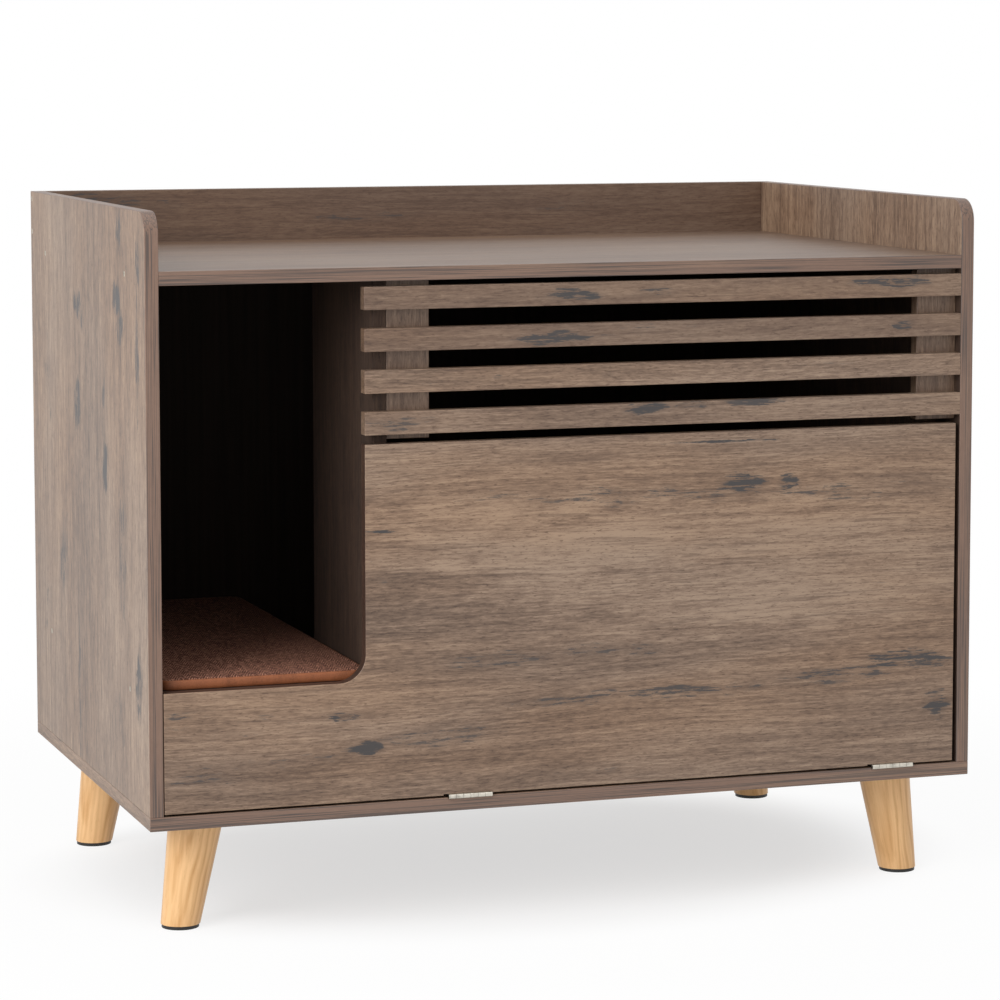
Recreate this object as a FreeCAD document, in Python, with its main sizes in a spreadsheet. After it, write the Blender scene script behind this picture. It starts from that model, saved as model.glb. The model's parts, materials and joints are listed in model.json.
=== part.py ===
import FreeCAD, Part
import os
import PartDesign
import Sketcher
from FreeCAD import Placement, Rotation, Vector

# A cat litter box cabinet. X runs across it, to the right seen from the front, the front faces -Y, and
# Z is up from the surface that its feet stand on. The origin is the middle of the space that it takes
# up, on that surface. Millimetres.

doc = FreeCAD.newDocument("litter_box_cabinet")

# ---------------------------------------------------------------------------------------------
# Driving sizes
# ---------------------------------------------------------------------------------------------

SIZES = (
    # carcass
    ("cabinet_width", 960),
    ("cabinet_depth", 600),
    ("carcass_height", 660),        # underside of the bottom panel to the top edge of the sides
    ("board_thickness", 15),
    ("board_edge", 0.5),            # chamfer that takes the sharpness off each board
    ("rail_height", 63),            # rise of the sides and of the back rail above the top panel
    ("side_corner_radius", 25),
    ("back_thickness", 3),
    ("back_inset", 10),
    ("groove_depth", 6),
    ("groove_play", 0.25),
    # entry, divider and mat shelf
    ("entry_width", 225),
    ("sill_height", 133),           # above the bottom panel
    ("sill_lip", 1),                # drop from the sill to the mat shelf
    ("sill_corner_radius", 30),
    ("divider_inset", 14),          # from the entry's edge to the divider
    ("divider_depth", 240),         # full-height front part, the passage lies behind it
    ("passage_corner_radius", 20),
    ("shelf_setback", 2),
    ("mat_front_setback", 3),
    ("mat_play", 3.5),
    ("mat_lift", 0.3),
    ("mat_thickness", 12),
    ("mat_crown", 1),
    ("mat_corner_radius", 14),
    # louvre
    ("slat_count", 4),
    ("slat_height", 25),
    ("slat_gap", 20),
    ("top_gap", 6),
    ("batten_width", 48),
    ("batten_drop", 6),             # how far the battens reach below the lowest slat
    # flip-down door
    ("finger_gap", 10),             # between the lowest slat and the door
    ("door_gap_left", 1),
    ("door_gap_right", 5),
    ("door_gap_below", 2.5),
    ("door_stop_gap", 0.3),
    # butt hinges
    ("hinge_inset_left", 118),      # from the entry's edge to the middle of the left hinge
    ("hinge_inset_right", 76),      # from the door's right end to the middle of the right hinge
    ("hinge_length", 50),
    ("hinge_proud", 1),             # pin axis ahead of the door's front face
    ("knuckle_count", 6),
    ("knuckle_radius", 2.85),
    ("knuckle_gap", 0.3),
    ("knuckle_play", 0.15),         # from a knuckle to the mortise that it turns in
    ("notch_play", 0.45),           # from a knuckle to the other leaf's edge
    ("pin_radius", 1.25),
    ("pin_play", 0.05),
    ("leaf_width", 13),             # from the pin axis
    ("leaf_thickness", 1.2),
    ("mortise_play", 0.3),
    ("mortise_overrun", 5),         # the door's mortises run on past the left end of the leaf
    ("hinge_screw_spread", 15),
    ("hinge_screw_offset", 8.5),    # behind the pin axis
    # magnetic catches
    ("catch_depth", 20),
    ("catch_height", 28),
    ("catch_ear_height", 46),
    ("catch_ear_thickness", 3),
    ("catch_screw_spread", 18.5),
    ("catch_drop", 30),             # door top to the middle of the catches
    ("strike_inset", 6),            # door edge to the middle of the strike plate
    ("strike_width", 10),
    ("strike_height", 38),
    ("strike_thickness", 1.2),
    # legs
    ("leg_height", 117),
    ("leg_splay", 9),               # degrees, each leg leans out to its own side
    ("leg_foot_radius", 21.5),
    ("leg_top_radius", 30),
    ("foot_inset_side", 51),
    ("foot_inset_front", 80),
    ("pad_radius", 20.5),
    ("pad_thickness", 4),
    ("plate_size", 80),
    ("plate_thickness", 3),
    ("nut_radius", 7.5),            # over the corners
    ("nut_height", 8),
    ("nut_play", 0.5),
    ("bolt_radius", 4),
    ("bolt_grip", 35),              # length of bolt inside the leg
    # screws and dowels
    ("screw_play", 0.05),
    ("carcass_screw_radius", 2.5),
    ("carcass_screw_head_radius", 3.5),
    ("carcass_screw_length", 48),
    ("slat_screw_radius", 1.75),
    ("slat_screw_head_radius", 3.5),
    ("slat_screw_length", 25),
    ("plate_screw_radius", 2),
    ("plate_screw_head_radius", 3.8),
    ("plate_screw_length", 13),
    ("plate_screw_spread", 31),
    ("small_screw_radius", 1.5),
    ("small_screw_head_radius", 2.7),
    ("small_screw_length", 12),
    ("dowel_radius", 4),
    ("dowel_length", 30),
    ("dowel_rise", 10),             # length of a dowel inside the top panel
    ("top_screw_front", 97),
    ("top_screw_rear", 83),
    ("shelf_screw_front", 90),
    ("shelf_screw_rear", 94),
    ("rail_rabbet", 2),              # how deep the rail's foot is let into the top panel
    ("rail_screw_low", 15),
    ("rail_screw_high", 9),
    ("base_screw_inset", 50),
    ("dowel_inset", 50),
    ("batten_dowel_spread", 14),
)

# ---------------------------------------------------------------------------------------------
# Places that follow from the sizes
# ---------------------------------------------------------------------------------------------

PLACES = (
    ("half_width", "sizes.cabinet_width / 2"),
    ("half_inner", "half_width - sizes.board_thickness"),
    ("half_board", "sizes.board_thickness / 2"),
    ("front_y", "(sizes.hinge_proud + sizes.knuckle_radius - sizes.cabinet_depth) / 2"),
    ("rear_y", "front_y + sizes.cabinet_depth"),
    ("behind_front_y", "front_y + sizes.board_thickness"),
    ("back_front_y", "rear_y - sizes.back_inset - sizes.back_thickness"),
    ("inner_rear_y", "back_front_y - sizes.groove_play"),
    ("under_z", "sizes.pad_thickness + sizes.leg_height + sizes.plate_thickness"),
    ("base_top_z", "under_z + sizes.board_thickness"),
    ("side_top_z", "under_z + sizes.carcass_height"),
    ("table_z", "side_top_z - sizes.rail_height"),
    ("ceiling_z", "table_z - sizes.board_thickness"),
    ("side_height", "side_top_z - base_top_z"),
    ("inner_height", "ceiling_z - base_top_z"),
    # louvre and door
    ("slat_pitch", "sizes.slat_height + sizes.slat_gap"),
    ("top_slat_z", "ceiling_z - sizes.top_gap - sizes.slat_height"),
    ("lowest_slat_z", "top_slat_z - slat_pitch * (sizes.slat_count - 1)"),
    ("batten_bottom_z", "lowest_slat_z - sizes.batten_drop"),
    ("door_top_z", "lowest_slat_z - sizes.finger_gap"),
    ("door_bottom_z", "base_top_z + sizes.door_gap_below"),
    ("door_height", "door_top_z - door_bottom_z"),
    ("entry_edge_x", "sizes.entry_width - half_inner"),
    ("door_left_x", "sizes.door_gap_left - half_inner"),
    ("door_right_x", "half_inner - sizes.door_gap_right"),
    ("door_width", "door_right_x - door_left_x"),
    # divider, shelf and mat
    ("sill_z", "base_top_z + sizes.sill_height"),
    ("shelf_top_z", "sill_z - sizes.sill_lip"),
    ("shelf_bottom_z", "shelf_top_z - sizes.board_thickness"),
    ("divider_left_x", "entry_edge_x + sizes.divider_inset"),
    ("divider_right_x", "divider_left_x + sizes.board_thickness"),
    ("divider_front_y", "behind_front_y + sizes.door_stop_gap"),
    ("shelf_front_y", "behind_front_y + sizes.shelf_setback"),
    ("mat_front_y", "shelf_front_y + sizes.mat_front_setback"),
    ("mat_width", "divider_left_x + half_inner - 2 * sizes.mat_play"),
    ("mat_depth", "inner_rear_y - sizes.mat_play - mat_front_y"),
    # hinges
    ("pin_y", "front_y - sizes.hinge_proud"),
    ("pin_z", "(base_top_z + door_bottom_z) / 2"),
    ("left_hinge_x", "entry_edge_x + sizes.hinge_inset_left"),
    ("right_hinge_x", "door_right_x - sizes.hinge_inset_right"),
    ("half_hinge", "sizes.hinge_length / 2"),
    ("knuckle_bore", "sizes.pin_radius + sizes.pin_play"),
    ("knuckle_gaps", "(sizes.knuckle_count - 1) * sizes.knuckle_gap"),
    ("knuckle_length", "(sizes.hinge_length - knuckle_gaps) / sizes.knuckle_count"),
    ("knuckle_pitch", "knuckle_length + sizes.knuckle_gap"),
    ("notch_reach", "sizes.knuckle_radius + sizes.notch_play"),
    ("leaf_inner_reach", "sizes.knuckle_radius - sizes.leaf_thickness"),
    ("mortise_depth", "sizes.knuckle_radius + sizes.knuckle_play - sizes.door_gap_below / 2"),
    ("mortise_run", "sizes.leaf_width + sizes.mortise_play - sizes.hinge_proud"),
    ("mortise_half_length", "half_hinge + sizes.mortise_play"),
    ("hinge_screw_y", "pin_y + sizes.hinge_screw_offset"),
    # catches
    ("strike_x_right", "door_right_x - sizes.strike_inset"),
    ("catch_reach", "2 * (half_inner - strike_x_right)"),
    ("strike_x_left", "divider_right_x + catch_reach / 2"),
    ("catch_z", "door_top_z - sizes.catch_drop"),
    ("catch_y", "behind_front_y + sizes.strike_thickness + sizes.door_stop_gap + sizes.catch_depth / 2"),
    # legs
    ("leg_lean", "sizes.leg_height * tan(sizes.leg_splay * 1 deg)"),
    ("leg_length", "sizes.leg_height / cos(sizes.leg_splay * 1 deg)"),
    ("leg_taper", "(sizes.leg_top_radius - sizes.leg_foot_radius) / leg_length"),
    ("leg_spare", "sizes.leg_top_radius * tan(sizes.leg_splay * 1 deg) * 2"),
    ("leg_foot_x", "half_width - sizes.foot_inset_side"),
    ("leg_top_x", "leg_foot_x - leg_lean"),
    ("leg_top_z", "sizes.pad_thickness + sizes.leg_height"),
    ("front_leg_y", "front_y + sizes.foot_inset_front"),
    ("rear_leg_y", "rear_y - sizes.foot_inset_front"),
    ("half_plate", "sizes.plate_size / 2"),
    ("bolt_rise", "sizes.plate_thickness + sizes.nut_height - 1"),
    # screw lines
    ("top_front_screw_y", "front_y + sizes.top_screw_front"),
    ("top_rear_screw_y", "rear_y - sizes.top_screw_rear"),
    ("top_screw_z", "table_z - half_board"),
    ("shelf_front_screw_y", "front_y + sizes.shelf_screw_front"),
    ("shelf_rear_screw_y", "rear_y - sizes.shelf_screw_rear"),
    ("shelf_screw_z", "shelf_top_z - half_board"),
    ("rail_screw_y", "rear_y - half_board"),
    ("rail_low_screw_z", "table_z + sizes.rail_screw_low"),
    ("rail_high_screw_z", "side_top_z - sizes.rail_screw_high"),
    ("base_front_screw_y", "front_y + sizes.base_screw_inset"),
    ("base_rear_screw_y", "rear_y - sizes.base_screw_inset"),
    ("side_screw_x", "half_width - half_board"),
    ("divider_middle_x", "divider_left_x + half_board"),
    ("divider_front_screw_y", "divider_front_y + sizes.base_screw_inset"),
    ("divider_rear_screw_y", "inner_rear_y - sizes.base_screw_inset"),
    ("divider_front_dowel_y", "divider_front_y + sizes.dowel_inset"),
    ("divider_rear_dowel_y", "divider_front_y + sizes.divider_depth - sizes.dowel_inset"),
    ("batten_middle_y", "behind_front_y + half_board"),
    ("left_batten_x", "divider_right_x + sizes.batten_width / 2"),
    ("right_batten_x", "half_inner - sizes.batten_width / 2"),
)


def fill_sheet(name, rows, prefix):
    """Puts each row's value, or formula after prefix, into column B under the row's name."""
    sheet = doc.addObject("Spreadsheet::Sheet", name)
    for line, (alias, value) in enumerate(rows, start=1):
        sheet.set(f"A{line}", alias)
        sheet.set(f"B{line}", f"{prefix}{value}")
        sheet.setAlias(f"B{line}", alias)
    return sheet


sizes = fill_sheet("sizes", SIZES, "")
places = fill_sheet("places", PLACES, "=")
working = doc.addObject("Spreadsheet::Sheet", "working")
doc.recompute()


def number(formula):
    """Gives what a formula on the two sheets comes to at present."""
    working.set("A1", f"={formula}")
    working.recompute()
    return float(working.get("A1"))


def bind(item, **formulas):
    """Ties properties of an object to formulas on the two sheets."""
    for name, formula in formulas.items():
        item.setExpression(name, formula)


def put(item, x="0", y="0", z="0", rotation=None):
    """Gives an object its place, as three formulas, and its turn."""
    item.Placement = Placement(Vector(), rotation or Rotation())
    for axis, formula in zip("xyz", (x, y, z)):
        item.setExpression(f"Placement.Base.{axis}", formula)


# ---------------------------------------------------------------------------------------------
# Sketches and features
# ---------------------------------------------------------------------------------------------

ALONG_Y = "XZ_Plane"
ALONG_X = "YZ_Plane"
ALONG_Z = "XY_Plane"


def new_sketch(body, plane, offset="0"):
    """A sketch square to one of the body's axes, offset along that axis."""
    sketch = body.newObject("Sketcher::SketchObject", "sketch")
    support = next(item for item in body.Origin.OriginFeatures if item.Role == plane)
    sketch.AttachmentSupport = [(support, "")]
    sketch.MapMode = "FlatFace"
    sign = "-1" if plane == ALONG_Y else "1"
    sketch.setExpression("AttachmentOffset.Base.z", f"{sign} * ({offset})")
    return sketch


def hold(sketch, geometry, point, x, y):
    """Holds one point of a sketch at two distances from the sketch's origin."""
    for kind, formula in (("DistanceX", x), ("DistanceY", y)):
        rule = Sketcher.Constraint(kind, -1, 1, geometry, point, number(formula))
        index = sketch.addConstraint(rule)
        sketch.setExpression(f"Constraints[{index}]", formula)


def add_polygon(sketch, corners):
    """A closed outline of straight lines through corners given as pairs of formulas."""
    points = [Vector(number(x), number(y), 0) for x, y in corners]
    first = sketch.GeometryCount
    last = len(points) - 1
    for index, point in enumerate(points):
        following = points[0 if index == last else index + 1]
        sketch.addGeometry(Part.LineSegment(point, following), False)
    for index in range(len(points)):
        following = first if index == last else first + index + 1
        sketch.addConstraint(Sketcher.Constraint("Coincident", first + index, 2, following, 1))
    for index, (x, y) in enumerate(corners):
        hold(sketch, first + index, 1, x, y)


def add_rectangle(sketch, x, y, width, height):
    """An upright rectangle from its lower left corner."""
    right = f"{x} + {width}"
    top = f"{y} + {height}"
    add_polygon(sketch, ((x, y), (right, y), (right, top), (x, top)))


def add_rounded_rectangle(sketch, x, y, width, height, radius):
    """An upright rectangle with four quarter-round corners, from its lower left corner."""
    left, low, right, high = x, y, f"{x} + {width}", f"{y} + {height}"
    line_ends = (
        ((f"{left} + {radius}", low), (f"{right} - ({radius})", low)),
        ((right, f"{low} + {radius}"), (right, f"{high} - ({radius})")),
        ((f"{right} - ({radius})", high), (f"{left} + {radius}", high)),
        ((left, f"{high} - ({radius})"), (left, f"{low} + {radius}")),
    )
    for start, end in line_ends:
        ends = [Vector(number(a), number(b), 0) for a, b in (start, end)]
        line = sketch.addGeometry(Part.LineSegment(*ends), False)
        hold(sketch, line, 1, *start)
        hold(sketch, line, 2, *end)
    quarter = 1.5707963267948966
    centres_x = (line_ends[0][1][0], line_ends[0][1][0], line_ends[0][0][0], line_ends[0][0][0])
    centres_y = (line_ends[1][0][1], line_ends[1][1][1], line_ends[1][1][1], line_ends[1][0][1])
    for corner in range(4):
        centre = Vector(number(centres_x[corner]), number(centres_y[corner]), 0)
        circle = Part.Circle(centre, Vector(0, 0, 1), number(radius))
        start_angle = (corner - 1) * quarter
        arc = sketch.addGeometry(Part.ArcOfCircle(circle, start_angle, start_angle + quarter), False)
        sketch.addConstraint(Sketcher.Constraint("Coincident", arc, 1, corner, 2))
        sketch.addConstraint(Sketcher.Constraint("Coincident", arc, 2, (corner + 1) % 4, 1))
        formula = centres_x[corner]
        rule = Sketcher.Constraint("DistanceX", -1, 1, arc, 3, number(formula))
        index = sketch.addConstraint(rule)
        sketch.setExpression(f"Constraints[{index}]", formula)


def new_body(label):
    """An empty body under the name of its piece."""
    body = doc.addObject("PartDesign::Body", label)
    body.Label = label
    return body


def pad(body, sketch, length):
    """Raises a sketch into a solid, towards the positive end of its axis."""
    feature = body.newObject("PartDesign::Pad", "pad")
    feature.Profile = sketch
    feature.Reversed = sketch.AttachmentSupport[0][0].Role == ALONG_Y
    bind(feature, Length=length)
    doc.recompute()
    return feature


def pocket(body, sketch, depth, towards_positive):
    """Cuts a sketch into the solid, towards the positive or negative end of its axis."""
    volume_before = body.Shape.Volume
    feature = body.newObject("PartDesign::Pocket", "pocket")
    feature.Profile = sketch
    faces_negative = sketch.AttachmentSupport[0][0].Role == ALONG_Y
    feature.Reversed = towards_positive != faces_negative
    bind(feature, Length=depth)
    doc.recompute()
    if body.Shape.Volume > volume_before - 0.01:
        raise RuntimeError(f"a pocket in {body.Label} removes nothing")


def round_edge(body, x, y, z, radius):
    """Rounds the edge whose middle lies nearest a point of the body."""
    base = body.Tip
    point = Vector(number(x), number(y), number(z))
    distances = [(edge.CenterOfMass - point).Length for edge in base.Shape.Edges]
    nearest = distances.index(min(distances)) + 1
    feature = body.newObject("PartDesign::Fillet", "fillet")
    feature.Base = (base, [f"Edge{nearest}"])
    bind(feature, Radius=radius)
    doc.recompute()


def ease_edges(body):
    """Takes the sharpness off every edge of a board."""
    base = body.Tip
    feature = body.newObject("PartDesign::Chamfer", "chamfer")
    feature.Base = (base, [f"Edge{index + 1}" for index in range(len(base.Shape.Edges))])
    bind(feature, Size="sizes.board_edge")
    doc.recompute()


def loft(body, levels):
    """A solid with straight walls from each level to the next."""
    feature = body.newObject("PartDesign::AdditiveLoft", "loft")
    feature.Profile = levels[0]
    feature.Sections = levels[1:]
    feature.Ruled = True
    doc.recompute()


def rectangular_board(label, plane, width, height, thickness, x, y, z):
    """A rectangular board from its lowest corner, thick along the axis that it is square to."""
    body = new_body(label)
    sketch = new_sketch(body, plane)
    add_rectangle(sketch, "0", "0", width, height)
    pad(body, sketch, thickness)
    put(body, x, y, z)
    return body


# ---------------------------------------------------------------------------------------------
# Primitives
# ---------------------------------------------------------------------------------------------

UP = Vector(0, 0, 1)
DOWN = Vector(0, 0, -1)
RIGHTWARDS = Vector(1, 0, 0)
LEFTWARDS = Vector(-1, 0, 0)
FORWARDS = Vector(0, -1, 0)

# Screws, bolts and dowels are small and many, so flat sides stand for their round shanks.
FASTENER_SIDES = 6

# How far a hole's cutting solid starts outside the face that it is drilled from.
HOLE_LEAD = 1


def box(name, length, width, height, x, y, z):
    """A box from its lowest corner."""
    item = doc.addObject("Part::Box", name)
    bind(item, Length=length, Width=width, Height=height)
    put(item, x, y, z)
    return item


def cylinder(name, radius, height, x, y, z, direction=UP):
    """A cylinder that starts at a point and runs in a direction."""
    item = doc.addObject("Part::Cylinder", name)
    bind(item, Radius=radius, Height=height)
    put(item, x, y, z, Rotation(UP, direction))
    return item


def rod(name, radius, length, x, y, z, direction=UP):
    """A fastener's shank or head, from a point in a direction; radius reaches its corners."""
    item = doc.addObject("Part::Prism", name)
    item.Polygon = FASTENER_SIDES
    bind(item, Circumradius=radius, Height=length)
    put(item, x, y, z, Rotation(UP, direction))
    return item


def group(label, pieces):
    """Separate solids under one name."""
    item = doc.addObject("Part::Compound", label)
    item.Label = label
    item.Links = pieces
    return item


def fuse(label, pieces):
    """One solid from each set of pieces that meet, under one name."""
    item = doc.addObject("Part::MultiFuse", label)
    item.Label = label
    item.Shapes = pieces
    return item


def cut(label, base, tools):
    """What is left of base after the tools are taken away, as a piece under its own name."""
    item = doc.addObject("Part::Cut", label)
    base.Label = f"{label}_blank"
    item.Label = label
    item.Base = base
    item.Tool = tools[0] if len(tools) == 1 else group(f"{label}_tools", tools)
    return item


# ---------------------------------------------------------------------------------------------
# Fasteners and their holes: one list of seats makes both
# ---------------------------------------------------------------------------------------------

def screws(label, kind, seats):
    """Flush-headed screws, each seated by the middle of its head's face and a direction."""
    solids = []
    holes = []
    head_height = f"sizes.{kind}_head_radius - sizes.{kind}_radius"
    for index, (x, y, z, direction) in enumerate(seats):
        solids.append(rod(f"{label}_head_{index}", f"sizes.{kind}_head_radius", head_height,
                          x, y, z, direction))
        solids.append(rod(f"{label}_shank_{index}", f"sizes.{kind}_radius", f"sizes.{kind}_length",
                          x, y, z, direction))
        outside = [f"{start} - ({step * HOLE_LEAD})" for start, step in zip((x, y, z), direction)]
        holes.append(rod(f"{label}_seat_{index}", f"sizes.{kind}_head_radius + sizes.screw_play",
                         f"{head_height} + sizes.screw_play + {HOLE_LEAD}", *outside, direction))
        holes.append(rod(f"{label}_hole_{index}", f"sizes.{kind}_radius + sizes.screw_play",
                         f"sizes.{kind}_length + sizes.screw_play + {HOLE_LEAD}", *outside, direction))
    return fuse(label, solids), group(f"{label}_holes", holes)


def dowels(label, middles):
    """Upright dowels that join the top panel to what stands under it."""
    low_end = "places.ceiling_z + sizes.dowel_rise - sizes.dowel_length"
    solids = []
    holes = []
    for index, (x, y) in enumerate(middles):
        solids.append(rod(f"{label}_{index}", "sizes.dowel_radius", "sizes.dowel_length", x, y, low_end))
        holes.append(rod(f"{label}_hole_{index}", "sizes.dowel_radius + sizes.screw_play",
                         "sizes.dowel_length + 2 * sizes.screw_play", x, y,
                         f"{low_end} - sizes.screw_play"))
    return group(label, solids), group(f"{label}_holes", holes)


def cone(name, low_radius, high_radius, height, x, y, z):
    """A frustum of a cone that starts at a point."""
    item = doc.addObject("Part::Cone", name)
    bind(item, Radius1=low_radius, Radius2=high_radius, Height=height)
    put(item, x, y, z)
    return item


def lean(item, sign):
    """Turns an upright leg or bolt so that it leans to its own side, its foot outwards."""
    item.Placement.Rotation = Rotation(Vector(0, -sign, 0), number("sizes.leg_splay"))
    item.setExpression("Placement.Rotation.Angle", "sizes.leg_splay * 1 deg")


def leaning_rod(name, radius, below, above, sign, leg_y):
    """A rod on a leg's axis, from a length below the top of the leg to a length above it."""
    item = rod(name, radius, f"{below} + {above}",
               f"{sign} * (places.leg_top_x + ({below}) * sin(sizes.leg_splay * 1 deg))",
               leg_y, f"places.leg_top_z - ({below}) * cos(sizes.leg_splay * 1 deg)")
    lean(item, sign)
    return item


ROWS = ("front", "rear")
SIDES = (("left", -1), ("right", 1))
LEGS = [(f"{row}_{side}", sign, f"places.{row}_leg_y") for row in ROWS for side, sign in SIDES]
SLAT_COUNT = round(sizes.get("slat_count"))
SLAT_MIDDLES = [
    f"places.top_slat_z + sizes.slat_height / 2 - {index} * places.slat_pitch"
    for index in range(SLAT_COUNT)
]
TOP_SCREWS = [(f"places.top_{row}_screw_y", "places.top_screw_z") for row in ROWS]
SHELF_SCREWS = [(f"places.shelf_{row}_screw_y", "places.shelf_screw_z") for row in ROWS]
RAIL_SCREWS = [("places.rail_screw_y", f"places.rail_{row}_screw_z") for row in ("low", "high")]
CATCH_SCREWS = [
    ("places.catch_y", f"places.catch_z + {end} * sizes.catch_screw_spread") for end in (-1, 1)
]

left_side_screws, left_side_holes = screws(
    "left_side_screws", "carcass_screw",
    [("-places.half_width", y, z, RIGHTWARDS) for y, z in TOP_SCREWS + SHELF_SCREWS + RAIL_SCREWS])
right_side_screws, right_side_holes = screws(
    "right_side_screws", "carcass_screw",
    [("places.half_width", y, z, LEFTWARDS) for y, z in TOP_SCREWS + RAIL_SCREWS])
divider_screws, divider_holes = screws(
    "divider_screws", "carcass_screw",
    [("places.divider_right_x", y, z, LEFTWARDS) for y, z in SHELF_SCREWS])
bottom_screws, bottom_holes = screws(
    "bottom_screws", "carcass_screw",
    [(f"{sign} * places.side_screw_x", f"places.base_{row}_screw_y", "places.under_z", UP)
     for side, sign in SIDES
     for row in ROWS]
    + [("places.divider_middle_x", f"places.divider_{row}_screw_y", "places.under_z", UP)
       for row in ROWS])
slat_screws, slat_holes = screws(
    "slat_screws", "slat_screw",
    [(f"places.{side}_batten_x", "places.behind_front_y + sizes.board_thickness", middle, FORWARDS)
     for side, sign in SIDES
     for middle in SLAT_MIDDLES])
leg_screws, leg_screw_holes = screws(
    "leg_screws", "plate_screw",
    [(f"{sign} * places.leg_top_x + {a} * sizes.plate_screw_spread",
      f"{leg_y} + {b} * sizes.plate_screw_spread", "places.leg_top_z", UP)
     for name, sign, leg_y in LEGS
     for a in (-1, 1)
     for b in (-1, 1)])
hinge_base_screws, hinge_base_holes = screws(
    "hinge_base_screws", "small_screw",
    [(f"places.{side}_hinge_x + {end} * sizes.hinge_screw_spread", "places.hinge_screw_y",
      "places.pin_z - places.leaf_inner_reach", DOWN)
     for side, sign in SIDES
     for end in (-1, 1)])
hinge_door_screws, hinge_door_holes = screws(
    "hinge_door_screws", "small_screw",
    [(f"places.{side}_hinge_x + {end} * sizes.hinge_screw_spread", "places.hinge_screw_y",
      "places.pin_z + places.leaf_inner_reach", UP)
     for side, sign in SIDES
     for end in (-1, 1)])
strike_screws, strike_holes = screws(
    "strike_screws", "small_screw",
    [(f"places.strike_x_{side}", "places.behind_front_y + sizes.strike_thickness", "places.catch_z",
      FORWARDS)
     for side, sign in SIDES])
catch_screws, catch_holes = screws(
    "catch_screws", "small_screw",
    [(face, y, z, direction)
     for face, direction in (("places.divider_right_x + sizes.catch_ear_thickness", LEFTWARDS),
                             ("places.half_inner - sizes.catch_ear_thickness", RIGHTWARDS))
     for y, z in CATCH_SCREWS])
divider_dowels, divider_dowel_holes = dowels(
    "divider_dowels", [("places.divider_middle_x", f"places.divider_{row}_dowel_y") for row in ROWS])
batten_dowels, batten_dowel_holes = dowels(
    "batten_dowels",
    [(f"places.{side}_batten_x + {end} * sizes.batten_dowel_spread", "places.batten_middle_y")
     for side, sign in SIDES
     for end in (-1, 1)])
leg_bolts = group("leg_bolts", [
    leaning_rod(f"{name}_bolt", "sizes.bolt_radius", "sizes.bolt_grip", "places.bolt_rise", sign, leg_y)
    for name, sign, leg_y in LEGS])
leg_bolt_holes = group("leg_bolt_holes", [
    leaning_rod(f"{name}_bolt_hole", "sizes.bolt_radius + sizes.screw_play",
                "sizes.bolt_grip + sizes.screw_play", "places.bolt_rise + 2 * sizes.bolt_radius",
                sign, leg_y)
    for name, sign, leg_y in LEGS])
nut_recesses = group("nut_recesses", [
    rod(f"{name}_nut_recess", "sizes.nut_radius + sizes.nut_play",
        f"sizes.nut_height + sizes.nut_play + {HOLE_LEAD}", f"{sign} * places.leg_top_x", leg_y,
        f"places.under_z - {HOLE_LEAD}")
    for name, sign, leg_y in LEGS])


# ---------------------------------------------------------------------------------------------
# Carcass
# ---------------------------------------------------------------------------------------------

def make_side(label, sign, holes):
    """A side stands on the bottom panel and has a rounded upper front corner."""
    body = new_body(label)
    sketch = new_sketch(body, ALONG_X)
    add_rectangle(sketch, "0", "0", "sizes.cabinet_depth", "places.side_height")
    pad(body, sketch, "sizes.board_thickness")
    round_edge(body, "places.half_board", "0", "places.side_height", "sizes.side_corner_radius")
    ease_edges(body)
    groove = new_sketch(body, ALONG_X, "sizes.board_thickness" if sign < 0 else "0")
    add_rectangle(groove, "places.back_front_y - places.front_y - sizes.groove_play", "-1",
                  "sizes.back_thickness + 2 * sizes.groove_play",
                  "places.inner_height + sizes.groove_depth + 1")
    pocket(body, groove, "sizes.groove_depth", sign > 0)
    x = "-places.half_width" if sign < 0 else "places.half_inner"
    put(body, x, "places.front_y", "places.base_top_z")
    return cut(label, body, holes)


def make_bottom_panel():
    """The bottom panel carries the sides; legs, hinges and the back panel let into it."""
    body = rectangular_board("bottom_panel", ALONG_Z, "sizes.cabinet_width", "sizes.cabinet_depth",
                             "sizes.board_thickness", "-places.half_width", "places.front_y",
                             "places.under_z")
    ease_edges(body)
    groove = new_sketch(body, ALONG_Z, "sizes.board_thickness")
    add_rectangle(groove, "sizes.board_thickness - sizes.groove_depth",
                  "places.back_front_y - places.front_y - sizes.groove_play",
                  "2 * (places.half_inner + sizes.groove_depth)",
                  "sizes.back_thickness + 2 * sizes.groove_play")
    pocket(body, groove, "sizes.groove_depth", False)
    mortises = new_sketch(body, ALONG_Z, "sizes.board_thickness")
    for side, sign in SIDES:
        start = f"places.{side}_hinge_x - places.mortise_half_length + places.half_width"
        add_rectangle(mortises, start, "-1", "2 * places.mortise_half_length",
                      "places.mortise_run + 1")
    pocket(body, mortises, "places.mortise_depth", False)
    return cut("bottom_panel", body, [bottom_holes, hinge_base_holes, leg_screw_holes, nut_recesses])


def make_top_panel():
    """The top panel lies between the sides and takes the rail's foot and the dowels below it."""
    body = rectangular_board("top_panel", ALONG_Z, "2 * places.half_inner", "sizes.cabinet_depth",
                             "sizes.board_thickness", "-places.half_inner", "places.front_y",
                             "places.ceiling_z")
    ease_edges(body)
    groove = new_sketch(body, ALONG_Z)
    add_rectangle(groove, "-1", "places.back_front_y - places.front_y - sizes.groove_play",
                  "2 * places.half_inner + 2", "sizes.back_thickness + 2 * sizes.groove_play")
    pocket(body, groove, "sizes.groove_depth", True)
    rabbet = new_sketch(body, ALONG_Z, "sizes.board_thickness")
    add_rectangle(rabbet, "-1", "sizes.cabinet_depth - sizes.board_thickness",
                  "2 * places.half_inner + 2", "sizes.board_thickness + 1")
    pocket(body, rabbet, "sizes.rail_rabbet", False)
    return cut("top_panel", body, [divider_dowel_holes, batten_dowel_holes, left_side_holes,
                                   right_side_holes])


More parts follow.
